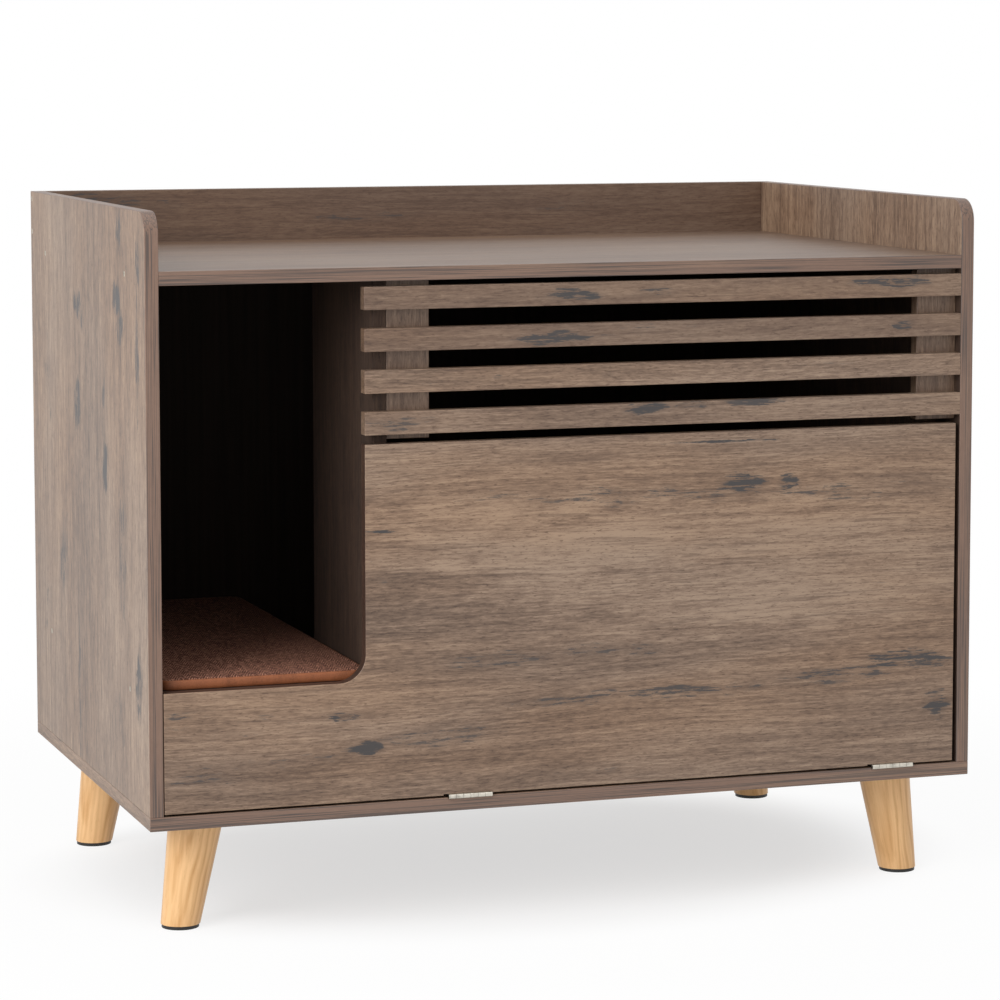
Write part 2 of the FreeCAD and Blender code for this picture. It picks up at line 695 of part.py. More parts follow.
def make_back_rail():
    """The low rail stands in a shallow rabbet along the rear edge of the top panel."""
    body = rectangular_board("back_rail", ALONG_Y, "2 * places.half_inner",
                             "sizes.rail_height + sizes.rail_rabbet", "sizes.board_thickness",
                             "-places.half_inner", "places.rear_y - sizes.board_thickness",
                             "places.table_z - sizes.rail_rabbet")
    ease_edges(body)
    return cut("back_rail", body, [left_side_holes, right_side_holes])


def make_back_panel():
    """The thin back stands in grooves of the sides, the bottom and the top."""
    reach = "(sizes.groove_depth - sizes.groove_play)"
    return rectangular_board("back_panel", ALONG_Y, f"2 * (places.half_inner + {reach})",
                             f"places.inner_height + sizes.groove_depth + {reach}",
                             "sizes.back_thickness", f"-places.half_inner - {reach}",
                             "places.back_front_y", "places.base_top_z - sizes.groove_depth")


# ---------------------------------------------------------------------------------------------
# Divider, mat shelf and mat
# ---------------------------------------------------------------------------------------------

def make_divider():
    """Full height at the front; behind that only as high as the shelf, so a cat walks round it."""
    body = new_body("divider_panel")
    sketch = new_sketch(body, ALONG_X)
    length = "places.inner_rear_y - places.divider_front_y"
    low = "places.shelf_top_z - places.base_top_z"
    add_polygon(sketch, (
        ("0", "0"),
        (length, "0"),
        (length, low),
        ("sizes.divider_depth", low),
        ("sizes.divider_depth", "places.inner_height"),
        ("0", "places.inner_height"),
    ))
    pad(body, sketch, "sizes.board_thickness")
    round_edge(body, "places.half_board", "sizes.divider_depth", low, "sizes.passage_corner_radius")
    ease_edges(body)
    put(body, "places.divider_left_x", "places.divider_front_y", "places.base_top_z")
    return cut("divider_panel", body, [divider_holes, bottom_holes, divider_dowel_holes, catch_holes])


def make_mat_shelf():
    """The raised floor behind the entry, between the left side and the divider."""
    body = rectangular_board("mat_shelf", ALONG_Z, "places.divider_left_x + places.half_inner",
                             "places.inner_rear_y - places.shelf_front_y", "sizes.board_thickness",
                             "-places.half_inner", "places.shelf_front_y", "places.shelf_bottom_z")
    ease_edges(body)
    return cut("mat_shelf", body, [left_side_holes, divider_holes])


# How high each level of the mat lies, and how far its outline is drawn in.
MAT_LEVELS = (
    ("0", "0.15 * sizes.mat_thickness"),
    ("0.3 * sizes.mat_thickness", "0"),
    ("0.75 * sizes.mat_thickness", "0"),
    ("0.94 * sizes.mat_thickness", "0.2 * sizes.mat_thickness"),
    ("sizes.mat_thickness", "0.7 * sizes.mat_thickness"),
    ("sizes.mat_thickness + sizes.mat_crown", "5 * sizes.mat_thickness"),
)


def make_mat():
    """A loose padded mat: rounded bound edge, and a slight crown over the middle."""
    body = new_body("mat")
    levels = []
    for height, inset in MAT_LEVELS:
        sketch = new_sketch(body, ALONG_Z, height)
        add_rounded_rectangle(sketch, f"({inset})", f"({inset})", f"(places.mat_width - 2 * {inset})",
                              f"(places.mat_depth - 2 * {inset})", "sizes.mat_corner_radius")
        levels.append(sketch)
    loft(body, levels)
    put(body, "sizes.mat_play - places.half_inner", "places.mat_front_y",
        "places.shelf_top_z + sizes.mat_lift")
    return body


# ---------------------------------------------------------------------------------------------
# Louvre
# ---------------------------------------------------------------------------------------------

def make_slat(index):
    """One slat, flush with the front, from the entry's edge to the right side."""
    label = f"slat_{index + 1}"
    body = rectangular_board(label, ALONG_Y, "places.half_inner - places.entry_edge_x",
                             "sizes.slat_height", "sizes.board_thickness", "places.entry_edge_x",
                             "places.front_y", f"places.top_slat_z - {index} * places.slat_pitch")
    ease_edges(body)
    return cut(label, body, [slat_holes])


def make_batten(side):
    """An upright batten behind the slats, doweled to the top panel."""
    label = f"{side}_batten"
    body = rectangular_board(label, ALONG_Y, "sizes.batten_width",
                             "places.ceiling_z - places.batten_bottom_z", "sizes.board_thickness",
                             f"places.{side}_batten_x - sizes.batten_width / 2",
                             "places.behind_front_y", "places.batten_bottom_z")
    ease_edges(body)
    return cut(label, body, [slat_holes, batten_dowel_holes])


# ---------------------------------------------------------------------------------------------
# Flip-down door and its catches
# ---------------------------------------------------------------------------------------------

def make_door():
    """An L: the tall part closes the litter room, the low arm is the sill of the entry."""
    body = new_body("flip_door")
    sketch = new_sketch(body, ALONG_Y)
    edge = "places.entry_edge_x - places.door_left_x"
    sill = "places.sill_z - places.door_bottom_z"
    add_polygon(sketch, (
        ("0", "0"),
        ("places.door_width", "0"),
        ("places.door_width", "places.door_height"),
        (edge, "places.door_height"),
        (edge, sill),
        ("0", sill),
    ))
    pad(body, sketch, "sizes.board_thickness")
    round_edge(body, edge, "places.half_board", sill, "sizes.sill_corner_radius")
    ease_edges(body)
    mortises = new_sketch(body, ALONG_Z)
    for side, sign in SIDES:
        start = (f"places.{side}_hinge_x - places.mortise_half_length - sizes.mortise_overrun"
                 " - places.door_left_x")
        add_rectangle(mortises, start, "-1", "(2 * places.mortise_half_length + sizes.mortise_overrun)",
                      "(places.mortise_run + 1)")
    pocket(body, mortises, "places.mortise_depth", True)
    put(body, "places.door_left_x", "places.front_y", "places.door_bottom_z")
    return cut("flip_door", body, [hinge_door_holes, strike_holes])


def make_catch(side, sign):
    """A magnetic catch: a block with two screw ears, from the middle of its back on the wall."""
    label = f"{side}_catch"
    body = new_body(label)
    ears = new_sketch(body, ALONG_X)
    add_rectangle(ears, "-sizes.catch_depth / 2", "-sizes.catch_ear_height / 2", "sizes.catch_depth",
                  "sizes.catch_ear_height")
    pad(body, ears, "sizes.catch_ear_thickness")
    block = new_sketch(body, ALONG_X)
    add_rectangle(block, "-sizes.catch_depth / 2", "-sizes.catch_height / 2", "sizes.catch_depth",
                  "sizes.catch_height")
    pad(body, block, "places.catch_reach")
    wall = "places.divider_right_x" if sign < 0 else "places.half_inner"
    turn = Rotation(UP, 0 if sign < 0 else 180)
    put(body, wall, "places.catch_y", "places.catch_z", turn)
    return cut(label, body, [catch_holes])


def make_strike(side):
    """The steel plate on the back of the door that a catch holds."""
    label = f"{side}_strike_plate"
    body = rectangular_board(label, ALONG_Y, "sizes.strike_width", "sizes.strike_height",
                             "sizes.strike_thickness", f"places.strike_x_{side} - sizes.strike_width / 2",
                             "places.behind_front_y", "places.catch_z - sizes.strike_height / 2")
    return cut(label, body, [strike_holes])


# ---------------------------------------------------------------------------------------------
# Butt hinges
# ---------------------------------------------------------------------------------------------

def make_leaf(side, owner, first_knuckle, low_face, holes):
    """A leaf let into the door's edge or the panel under it, with every second knuckle."""
    label = f"{side}_hinge_{owner}_leaf"
    start = f"places.{side}_hinge_x - places.half_hinge"
    solids = [box(f"{label}_plate", "sizes.hinge_length", "sizes.leaf_width - places.notch_reach",
                  "sizes.leaf_thickness", start, "places.pin_y + places.notch_reach", low_face)]
    for knuckle in range(first_knuckle, round(sizes.get("knuckle_count")), 2):
        x = f"{start} + {knuckle} * places.knuckle_pitch"
        solids.append(box(f"{label}_tab_{knuckle}", "places.knuckle_length", "places.notch_reach",
                          "sizes.leaf_thickness", x, "places.pin_y", low_face))
        solids.append(cylinder(f"{label}_knuckle_{knuckle}", "sizes.knuckle_radius",
                               "places.knuckle_length", x, "places.pin_y", "places.pin_z", RIGHTWARDS))
    bore = cylinder(f"{label}_bore", "places.knuckle_bore", f"sizes.hinge_length + 2 * {HOLE_LEAD}",
                    f"{start} - {HOLE_LEAD}", "places.pin_y", "places.pin_z", RIGHTWARDS)
    return cut(label, fuse(f"{label}_blank", solids), [bore, holes])


def make_pin(side):
    """The pin that the knuckles of both leaves turn on."""
    label = f"{side}_hinge_pin"
    pin = cylinder(label, "sizes.pin_radius", "sizes.hinge_length",
                   f"places.{side}_hinge_x - places.half_hinge", "places.pin_y", "places.pin_z", RIGHTWARDS)
    pin.Label = label
    return pin


# ---------------------------------------------------------------------------------------------
# Legs
# ---------------------------------------------------------------------------------------------

def make_leg(name, sign, leg_y):
    """A tapered round leg that leans outwards, cut level under its plate and over its pad."""
    spare = "places.leg_spare"
    leaning = cone(f"{name}_leg_cone", f"sizes.leg_foot_radius - {spare} * places.leg_taper",
                   f"sizes.leg_top_radius + {spare} * places.leg_taper",
                   f"places.leg_length + 2 * {spare}",
                   f"{sign} * (places.leg_foot_x + {spare} * sin(sizes.leg_splay * 1 deg))", leg_y,
                   f"sizes.pad_thickness - {spare} * cos(sizes.leg_splay * 1 deg)")
    lean(leaning, sign)
    reach = "3 * sizes.leg_top_radius"
    slab = box(f"{name}_leg_slab", f"2 * {reach}", f"2 * {reach}", "sizes.leg_height",
               f"{sign} * places.leg_top_x - {reach}", f"{leg_y} - {reach}", "sizes.pad_thickness")
    level = doc.addObject("Part::Common", f"{name}_leg")
    level.Base = leaning
    level.Tool = slab
    return level


def make_foot_pad(name, sign, leg_y):
    """A low round pad under a leg."""
    return cylinder(f"{name}_foot_pad", "sizes.pad_radius", "sizes.pad_thickness",
                    f"{sign} * places.leg_foot_x", leg_y, "0")


def make_leg_plate(name, sign, leg_y):
    """A steel plate under the bottom panel; its welded nut holds the leg's bolt at the lean."""
    plate = box(f"{name}_plate", "sizes.plate_size", "sizes.plate_size", "sizes.plate_thickness",
                f"{sign} * places.leg_top_x - places.half_plate", f"{leg_y} - places.half_plate",
                "places.leg_top_z")
    nut = rod(f"{name}_nut", "sizes.nut_radius", "sizes.plate_thickness + sizes.nut_height",
              f"{sign} * places.leg_top_x", leg_y, "places.leg_top_z")
    return fuse(f"{name}_plate_and_nut", [plate, nut])


def four(label, make):
    """One solid for each of the four legs, under one name."""
    return group(label, [make(name, sign, leg_y) for name, sign, leg_y in LEGS])


# ---------------------------------------------------------------------------------------------
# Build every piece
# ---------------------------------------------------------------------------------------------

nodes = [
    make_side("left_side_panel", -1, [left_side_holes, bottom_holes]),
    make_side("right_side_panel", 1, [right_side_holes, bottom_holes, catch_holes]),
    make_bottom_panel(),
    make_top_panel(),
    make_back_rail(),
    make_back_panel(),
    make_divider(),
    make_mat_shelf(),
    make_mat(),
    make_door(),
    left_side_screws,
    right_side_screws,
    divider_screws,
    bottom_screws,
    slat_screws,
    leg_screws,
    hinge_base_screws,
    hinge_door_screws,
    strike_screws,
    catch_screws,
    divider_dowels,
    batten_dowels,
    leg_bolts,
]
nodes += [make_slat(index) for index in range(SLAT_COUNT)]
for side, sign in SIDES:
    nodes.append(make_batten(side))
    nodes.append(make_catch(side, sign))
    nodes.append(make_strike(side))
    nodes.append(make_leaf(side, "base", 0, "places.pin_z - sizes.knuckle_radius", hinge_base_holes))
    nodes.append(make_leaf(side, "door", 1, "places.pin_z + places.leaf_inner_reach", hinge_door_holes))
    nodes.append(make_pin(side))
nodes.append(cut("legs", four("legs_blank", make_leg), [leg_bolt_holes]))
nodes.append(four("foot_pads", make_foot_pad))
nodes.append(cut("leg_plates", four("leg_plates_blank", make_leg_plate),
                 [leg_screw_holes, leg_bolt_holes]))
doc.recompute()

# ---------------------------------------------------------------------------------------------
# Checks and export
# ---------------------------------------------------------------------------------------------

for item in doc.Objects:
    if "Invalid" in item.State or "Error" in item.State:
        raise RuntimeError(f"{item.Label} failed: {item.State}")
for node in nodes:
    if node.Shape.isNull() or not node.Shape.isValid() or not node.Shape.Solids:
        raise RuntimeError(f"{node.Label} has no valid solid")

os.makedirs("parts", exist_ok=True)
for node in nodes:
    node.Shape.exportStep(f"parts/{node.Label}.step")
print(len(nodes), "nodes,", sum(len(node.Shape.Solids) for node in nodes), "solids")
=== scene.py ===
"""Finishes, mat, screws and studio of a cat litter box cabinet, built round its CAD frame."""

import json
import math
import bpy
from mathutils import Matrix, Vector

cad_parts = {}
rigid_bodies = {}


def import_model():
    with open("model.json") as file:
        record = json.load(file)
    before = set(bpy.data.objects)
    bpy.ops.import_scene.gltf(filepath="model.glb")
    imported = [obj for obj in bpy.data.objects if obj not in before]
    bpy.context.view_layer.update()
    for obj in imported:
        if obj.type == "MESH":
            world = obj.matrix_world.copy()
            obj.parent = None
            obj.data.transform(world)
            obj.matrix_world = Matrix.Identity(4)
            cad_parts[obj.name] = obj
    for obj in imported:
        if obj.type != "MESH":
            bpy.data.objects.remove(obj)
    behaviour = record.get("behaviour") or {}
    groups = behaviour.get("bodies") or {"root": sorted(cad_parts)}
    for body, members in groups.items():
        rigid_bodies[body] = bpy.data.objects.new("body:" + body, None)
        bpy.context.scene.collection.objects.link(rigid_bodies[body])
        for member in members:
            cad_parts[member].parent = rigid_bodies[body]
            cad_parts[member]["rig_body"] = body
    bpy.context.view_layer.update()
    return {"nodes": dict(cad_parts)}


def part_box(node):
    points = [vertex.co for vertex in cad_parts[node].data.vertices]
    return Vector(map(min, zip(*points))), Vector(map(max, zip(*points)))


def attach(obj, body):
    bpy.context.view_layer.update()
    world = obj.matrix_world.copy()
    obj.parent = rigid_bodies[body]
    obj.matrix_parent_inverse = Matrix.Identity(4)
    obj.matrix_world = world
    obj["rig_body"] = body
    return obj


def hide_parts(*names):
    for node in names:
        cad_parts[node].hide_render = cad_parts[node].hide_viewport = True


bl_info = {
    "name": "Litter cabinet dresser",
    "version": (1, 0, 0),
    "blender": (4, 5, 0),
    "location": "View3D > Sidebar > Cabinet",
    "description": "Gives a cat litter box cabinet its wood print, mat, fasteners and studio",
    "category": "Object",
}

import bpy
import numpy as np
from mathutils import Matrix, Vector

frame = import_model()

TURN = 2 * math.pi
SKIN = 0.0007                # a point of a board this near to a face is on it, in metres
MERGE = 1e-6                 # points this near to each other are one, in metres
GENTLE = math.radians(24)    # faces that meet at less than this are shaded as one surface
SIDE_CORNER = 0.025          # radius of the front top corner of a side panel, in metres
LEG_SPLAY = math.radians(9)  # lean of a leg away from upright

SLAT_NODES = ("slat_1", "slat_2", "slat_3", "slat_4")
SCREW_NODES = ("left_side_screws", "right_side_screws", "divider_screws", "bottom_screws",
               "slat_screws", "leg_screws", "hinge_base_screws", "hinge_door_screws",
               "strike_screws", "catch_screws")


# ---------------------------------------------------------------------------------------------
# Sizes and colours that a user may change
# ---------------------------------------------------------------------------------------------

def colour(name, description, value):
    """A linear colour property."""
    return bpy.props.FloatVectorProperty(name=name, description=description, default=value,
                                         subtype="COLOR", size=3, min=0.0, max=1.0)


def length(name, description, value, low, high):
    """A length property in metres."""
    return bpy.props.FloatProperty(name=name, description=description, default=value, min=low,
                                   max=high, unit="LENGTH", subtype="DISTANCE")


class WoodPrint(bpy.types.PropertyGroup):
    """Colours of the printed boards."""
    light: colour("Light bands", "Palest bands of the print", (0.372, 0.256, 0.174))
    middle: colour("Ground", "Ground colour of the print", (0.238, 0.153, 0.102))
    dark: colour("Dark bands", "Darkest bands of the print", (0.118, 0.071, 0.046))
    stain: colour("Stains", "Charcoal of the stains and knots", (0.052, 0.046, 0.045))
    shade: colour("Shaded boards", "Dark brown that some boards are printed towards",
                  (0.090, 0.048, 0.031))
    band: colour("Edge band", "Ground colour of the edge banding", (0.215, 0.134, 0.098))
    hardboard: colour("Hardboard", "Rear face of the back panel", (0.190, 0.130, 0.085))


class LegWood(bpy.types.PropertyGroup):
    """Colours of the turned legs."""
    light: colour("Early wood", "Pale wood between the growth lines", (0.880, 0.545, 0.260))
    dark: colour("Late wood", "Growth lines", (0.620, 0.320, 0.110))


class MatCloth(bpy.types.PropertyGroup):
    """Sizes and colours of the loose mat."""
    crown: length("Crown", "Rise of the middle over the rim", 0.0012, 0.0, 0.003)
    rim: length("Rim", "Radius of the rounded upper rim", 0.005, 0.002, 0.006)
    play: length("Play", "Air round the mat inside its CAD solid", 0.0004, 0.0, 0.002)
    thread: length("Thread", "Width of one thread of the weave", 0.0016, 0.0005, 0.003)
    warp: colour("Warp", "Pale threads", (0.660, 0.330, 0.225))
    weft: colour("Weft", "Dark threads", (0.085, 0.030, 0.020))
    binding: colour("Binding", "Smooth band round the edge", (0.350, 0.115, 0.045))


class Hardware(bpy.types.PropertyGroup):
    """Colours of the metal and plastic pieces."""
    nickel: colour("Nickel", "Hinges", (0.680, 0.640, 0.560))
    zinc: colour("Zinc", "Plates, screws and bolts", (0.600, 0.560, 0.470))
    plastic: colour("Plastic", "Catches", (0.160, 0.120, 0.095))
    rubber: colour("Pads", "Foot pads", (0.020, 0.019, 0.018))


class Studio(bpy.types.PropertyGroup):
    """Strength of the light."""
    surround: bpy.props.FloatProperty(name="Surround", description="Soft light from all round",
                                      default=0.56, min=0.0, max=2.0)
    key: bpy.props.FloatProperty(name="Key", description="Large soft lamp at the left, in watts",
                                 default=86.0, min=0.0, max=400.0)
    top: bpy.props.FloatProperty(name="Top", description="Soft lamp overhead, in watts",
                                 default=16.0, min=0.0, max=400.0)


LOOKS = (("wood_print", WoodPrint), ("leg_wood", LegWood), ("mat_cloth", MatCloth),
         ("hardware", Hardware), ("studio", Studio))


# ---------------------------------------------------------------------------------------------
# Shader maths
# ---------------------------------------------------------------------------------------------

class Wire:
    """A number or colour that flows through a tree; arithmetic on it adds Math nodes."""

    def __init__(self, tree, socket):
        self.tree = tree
        self.socket = socket

    def __add__(self, other):
        return self.tree.math("ADD", self, other)

    def __sub__(self, other):
        return self.tree.math("SUBTRACT", self, other)

    def __rsub__(self, other):
        return self.tree.math("SUBTRACT", other, self)

    def __mul__(self, other):
        return self.tree.math("MULTIPLY", self, other)

    def __truediv__(self, other):
        return self.tree.math("DIVIDE", self, other)

    def __pow__(self, other):
        return self.tree.math("POWER", self, other)

    __radd__ = __add__
    __rmul__ = __mul__

    def over(self, other):
        """The larger of the two."""
        return self.tree.math("MAXIMUM", self, other)

    def above(self, edge):
        """1 where the value is greater than edge, else 0."""
        return self.tree.math("GREATER_THAN", self, edge)

    def below(self, edge):
        """1 where the value is less than edge, else 0."""
        return self.tree.math("LESS_THAN", self, edge)

    def size(self):
        """The value without its sign."""
        return self.tree.math("ABSOLUTE", self)

    def fraction(self):
        """What is left of the value over the whole number below it."""
        return self.tree.math("FRACT", self)

    def wave(self):
        """A sine that goes round once per 1, between -1 and 1."""
        return self.tree.math("SINE", self * TURN)

    def rise(self, low, high):
        """0 up to low, 1 from high, and an S curve between them."""
        node = self.tree.node("ShaderNodeMapRange", {"interpolation_type": "SMOOTHSTEP"},
                              {"Value": self, "From Min": low, "From Max": high})
        return Wire(self.tree, node.outputs["Result"])


class Tree:
    """The emptied nodes of a material or of the world, being filled."""

    def __init__(self, owner):
        owner.use_nodes = True
        self.owner = owner
        self.owner.node_tree.nodes.clear()

    def node(self, kind, settings, sockets):
        """Adds a node: its settings first, then the values or links of its sockets."""
        node = self.owner.node_tree.nodes.new(kind)
        for key, value in settings.items():
            setattr(node, key, value)
        for key, value in sockets.items():
            self.feed(node.inputs[key], value)
        return node

    def feed(self, socket, value):
        """Gives a socket a value or a link."""
        if isinstance(value, Wire):
            value = value.socket
        if isinstance(value, bpy.types.NodeSocket):
            self.owner.node_tree.links.new(value, socket)
        elif socket.type == "RGBA" and len(value) == 3:
            socket.default_value = (*value, 1.0)
        else:
            socket.default_value = value

    def math(self, operation, *values):
        """A Math node on one or more values."""
        sockets = dict(enumerate(values))
        node = self.node("ShaderNodeMath", {"operation": operation}, sockets)
        return Wire(self, node.outputs["Value"])

    def direct(self):
        """1 for what the camera or a gloss sees, and 0 for what only lights."""
        seen = self.node("ShaderNodeLightPath", {}, {})
        return Wire(self, seen.outputs["Is Camera Ray"]).over(
            Wire(self, seen.outputs["Is Glossy Ray"]))


class Finish(Tree):
    """A material being made: a Principled shader and the nodes that feed it."""

    def __init__(self, name, plain):
        super().__init__(bpy.data.materials.new(name))
        self.shader = self.node("ShaderNodeBsdfPrincipled", {}, plain)
        self.output = self.node("ShaderNodeOutputMaterial", {},
                                {"Surface": self.shader.outputs["BSDF"]})

    def place(self):
        """Object coordinates as three values in metres."""
        point = self.node("ShaderNodeTexCoord", {}, {}).outputs["Object"]
        parts = self.node("ShaderNodeSeparateXYZ", {}, {"Vector": point})
        return [Wire(self, parts.outputs[axis]) for axis in "XYZ"]

    def noise(self, x, y, z, detail=2.0, roughness=0.5):
        """Noise around 0.5 at a place given by three values."""
        point = self.node("ShaderNodeCombineXYZ", {}, {"X": x, "Y": y, "Z": z})
        node = self.node("ShaderNodeTexNoise", {},
                         {"Vector": point.outputs["Vector"], "Scale": 1.0, "Detail": detail,
                          "Roughness": roughness})
        return Wire(self, node.outputs["Fac"])

    def blend(self, first, second, share, way="MIX"):
        """A mix of two colours, all second where share is 1. A Mix node's colour sockets go by
        number, because those for numbers and vectors have the same names."""
        node = self.node("ShaderNodeMix", {"data_type": "RGBA", "blend_type": way},
                         {0: share, 6: first, 7: second})
        return Wire(self, node.outputs[2])

    def tint(self, tone, filter_tone):
        """One colour multiplied by another."""
        return self.blend(tone, filter_tone, 1.0, "MULTIPLY")

    def ramp(self, value, stops):
        """Colours at places from 0 to 1 along a value."""
        node = self.node("ShaderNodeValToRGB", {}, {"Fac": value})
        elements = node.color_ramp.elements
        while len(elements) < len(stops):
            elements.new(0.5)
        for element, (position, tone) in zip(elements, stops):
            element.position = position
            element.color = (*tone, 1.0)
        return Wire(self, node.outputs["Color"])

    def paint(self, tone, roughness, relief, depth, strength):
        """Feeds the shader a colour, a roughness and a bump with a depth in metres."""
        bump = self.node("ShaderNodeBump", {},
                         {"Strength": strength, "Distance": depth, "Height": relief})
        self.feed(self.shader.inputs["Base Color"], tone)
        self.feed(self.shader.inputs["Roughness"], roughness)
        self.feed(self.shader.inputs["Normal"], bump.outputs["Normal"])
        return self.owner


# ---------------------------------------------------------------------------------------------
# Finishes
# ---------------------------------------------------------------------------------------------

# Filters: the printed tone is multiplied by them
CLEAR = (1, 1, 1)
WARM = (1.02, 0.985, 0.94)
COOL = (0.97, 1.00, 1.04)
PORE = (0.62, 0.58, 0.56)
SEAM = (0.72, 0.70, 0.70)
# Painted shade: the tone of faces within the cabinet is multiplied by this, standing in for the
# shade there
INNER_PAINTED_SHADE = (0.20, 0.16, 0.14)
FIBRE_DARK, FIBRE_PALE = (0.80, 0.78, 0.76), (1.2, 1.2, 1.2)


def plain_tones(group):
    """The colours of a property group as tuples by name."""
    return {key: tuple(getattr(group, key)) for key in group.__annotations__
            if not isinstance(getattr(group, key), float)}


def faded(tone, share):
    """A darker form of a colour: each of its parts times share."""
    return tuple(share * part for part in tone)


def everywhere(x, y, z):
    """1 at each place of a board."""
    return x.below(1)


def wood_print(name, grain, seed, stains=(), banded=None, painted_shade_on=None, cross=None, dirt=0.5,
               shade=0.0, across_scale=1.0, pale=(), rim_shade=CLEAR):
    """Printed wood. Noise is stretched along the grain into bands, fibres and pores, and the
    contour lines of a smooth field give the figure. Stains are soft ellipses with ragged rims,
    filled with dark dashes, and pale ones lift the tone. banded, painted_shade_on and cross are
    functions of the place that give 1 on edge banding, on faces within the cabinet that are
    darkened as painted shade, and where the grain runs along Y. rim_shade tints the edge banding
    darker as painted shade."""
    tones = plain_tones(bpy.context.scene.wood_print)
    finish = Finish(name, {"IOR": 1.5})
    x, y, z = finish.place()
    along, across, deep = {"X": (x, z, y), "Y": (y, x, z), "Z": (z, y, x)}[grain]
    if cross is not None:
        swap = cross(x, y, z)
        along, deep = along + (y - x) * swap, deep + (x - y) * swap
    far_rag = finish.noise(along * 22 + seed, across * 60, deep * 60, 3.0, 0.6) - 0.5
    off_rag = finish.noise(along * 16, across * 70 + seed, deep * 70, 3.0, 0.6) - 0.5

    def mark(middle_along, middle_across, reach_along, reach_across, power):
        """An ellipse, given in millimetres, that fades to its rim: 1 less the squares of the two
        distances over their reaches, which noise makes ragged."""
        far = (along - middle_along / 1000) * (1000 / reach_along) + far_rag * 1.5
        off = (across - middle_across / 1000) * (1000 / reach_across) + off_rag * 2.4
        return (1 - (far * far + off * off)).rise(-0.35, 0.85) * power

    marks = [mark(*stain) for stain in stains]
    lifts = [mark(*patch) for patch in pale]
    edge_across, edge_deep = across * 480, deep * 480

    # The print: the place across the grain bends slowly, and noise of each width is laid on it
    bend = finish.noise(along * 1.3 + seed, across * 5, deep * 5, 2.0) - 0.5
    across = (across + bend * 0.03) * across_scale
    deep = deep * across_scale
    cloud = finish.noise(along * 2.2 + seed, across * 8 + seed, deep * 8, 3.0)
    field = finish.noise(along * 1.5, across * 5 + seed, deep * 5 + seed, 1.0)
    growth = finish.noise(along * 9 + seed, across * 185, deep * 185, 4.0, 0.68)
    bands = finish.noise(along * 1.1 + seed, across * 36, deep * 36 + seed, 4.0, 0.62)
    fibre = finish.noise(along * 70, across * 520 + seed, deep * 520, 3.0, 0.7)
    pores = finish.noise(along * 130 + seed, across * 620, deep * 620 + seed, 2.0, 0.6)
    figure = (field * 30 + growth * 1.6).wave()
    seam = (finish.noise(along * 2.2 + seed, across * 130, deep * 130, 3.0) - 0.5).size()
    thread = 1 - seam.rise(0.012, 0.050)
    tone = (cloud - 0.5) * 0.75 + (bands - 0.5) * 0.62 + (growth - 0.5) * 1.05 \
        + (fibre - 0.5) * 1.35 + figure * 0.06 + 0.5
    for lift in lifts:
        tone = tone + lift
    base = finish.ramp(tone, ((0.12, tones["dark"]), (0.48, tones["middle"]),
                              (0.88, tones["light"])))
    drift = finish.noise(along * 2.0 + seed * 2, across * 10, deep * 10, 2.0).rise(0.34, 0.66)
    base = finish.tint(base, finish.blend(WARM, COOL, drift))
    base = finish.tint(base, finish.blend(CLEAR, PORE, pores.rise(0.59, 0.68)))
    base = finish.tint(base, finish.blend(CLEAR, SEAM, thread * figure.rise(-0.2, 0.8)))
    if shade:
        base = finish.blend(base, tones["shade"], shade)

    # Dirt: cloudy all over, strong in the marks, and seen only as dashes and blots
    soil = finish.noise(along * 2.6, across * 12 + seed, deep * 12 + seed, 3.0, 0.6)
    soil = soil.rise(0.52, 0.74) * dirt
    for spot in marks:
        soil = soil.over(spot)
    dash = finish.noise(along * 15 + seed, across * 270, deep * 270 + seed, 4.0, 0.65)
    blot = finish.noise(along * 30 + seed, across * 75, deep * 75, 2.0, 0.55)
    cover = (dash - 0.5) * 1.5 + (blot - 0.5) * 0.7 + (fibre - 0.5) * 1.3 + (soil - 0.72) * 0.66
    stain = cover.rise(-0.02, 0.13) * (soil * 0.5 + 0.45) + soil * 0.15
    board = finish.blend(base, tones["stain"], stain)
    matt = 0.37 + fibre * 0.14
    relief = growth * 0.4 + fibre * 0.5 - pores.rise(0.60, 0.72) * 0.3 - stain * 0.3
    if banded is not None:
        vein = (finish.noise(along * 2.6 + seed, edge_across, edge_deep, 2.0) - 0.5).size()
        strip = finish.blend(tones["band"], tones["light"], bands.rise(0.48, 0.8))
        strip = finish.tint(strip, finish.blend(FIBRE_DARK, FIBRE_PALE, fibre))
        strip = finish.blend(strip, tones["stain"], (1 - vein.rise(0.010, 0.070)) * 0.75)
        # Painted shade: rim_shade darkens the edge band where a board's band lies in shade
        strip = finish.tint(strip, rim_shade)
        board = finish.blend(board, strip, banded(x, y, z))
    # Painted shade: faces within the cabinet are darkened, as if in shade, and made rougher
    if painted_shade_on is not None:
        painted_inner_shade = painted_shade_on(x, y, z)
        board = finish.blend(board, finish.tint(board, INNER_PAINTED_SHADE), painted_inner_shade)
        matt = matt + painted_inner_shade * 0.4
    return finish.paint(board, matt, relief, 0.0003, 0.35)


def raw_hardboard(name):
    """Back panel: near black on the face within the cabinet, a painted shade over a faint grain,
    and felted brown fibre at the rear.
    """
    tones = plain_tones(bpy.context.scene.wood_print)
    finish = Finish(name, {"IOR": 1.4, "Specular IOR Level": 0.2})
    x, y, z = finish.place()
    fine = finish.noise(x * 420, y * 420, z * 420, 4.0, 0.65)
    soft = finish.noise(x * 14, y * 14, z * 14, 3.0, 0.5)
    felt = finish.ramp(fine * 0.6 + soft * 0.4, ((0.3, tones["dark"]), (0.7, tones["hardboard"])))
    grain = finish.noise(x * 160, y * 160, z * 4, 3.0)
    # Painted shade: the face within the cabinet is near black, standing in for the shade there
    inside = finish.blend((0.010, 0.007, 0.005), (0.035, 0.023, 0.017), grain)
    low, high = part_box("back_panel")
    rear = y.above((low.y + high.y) / 2)
    return finish.paint(finish.blend(inside, felt, rear), 0.75, fine, 0.0004, 0.3)


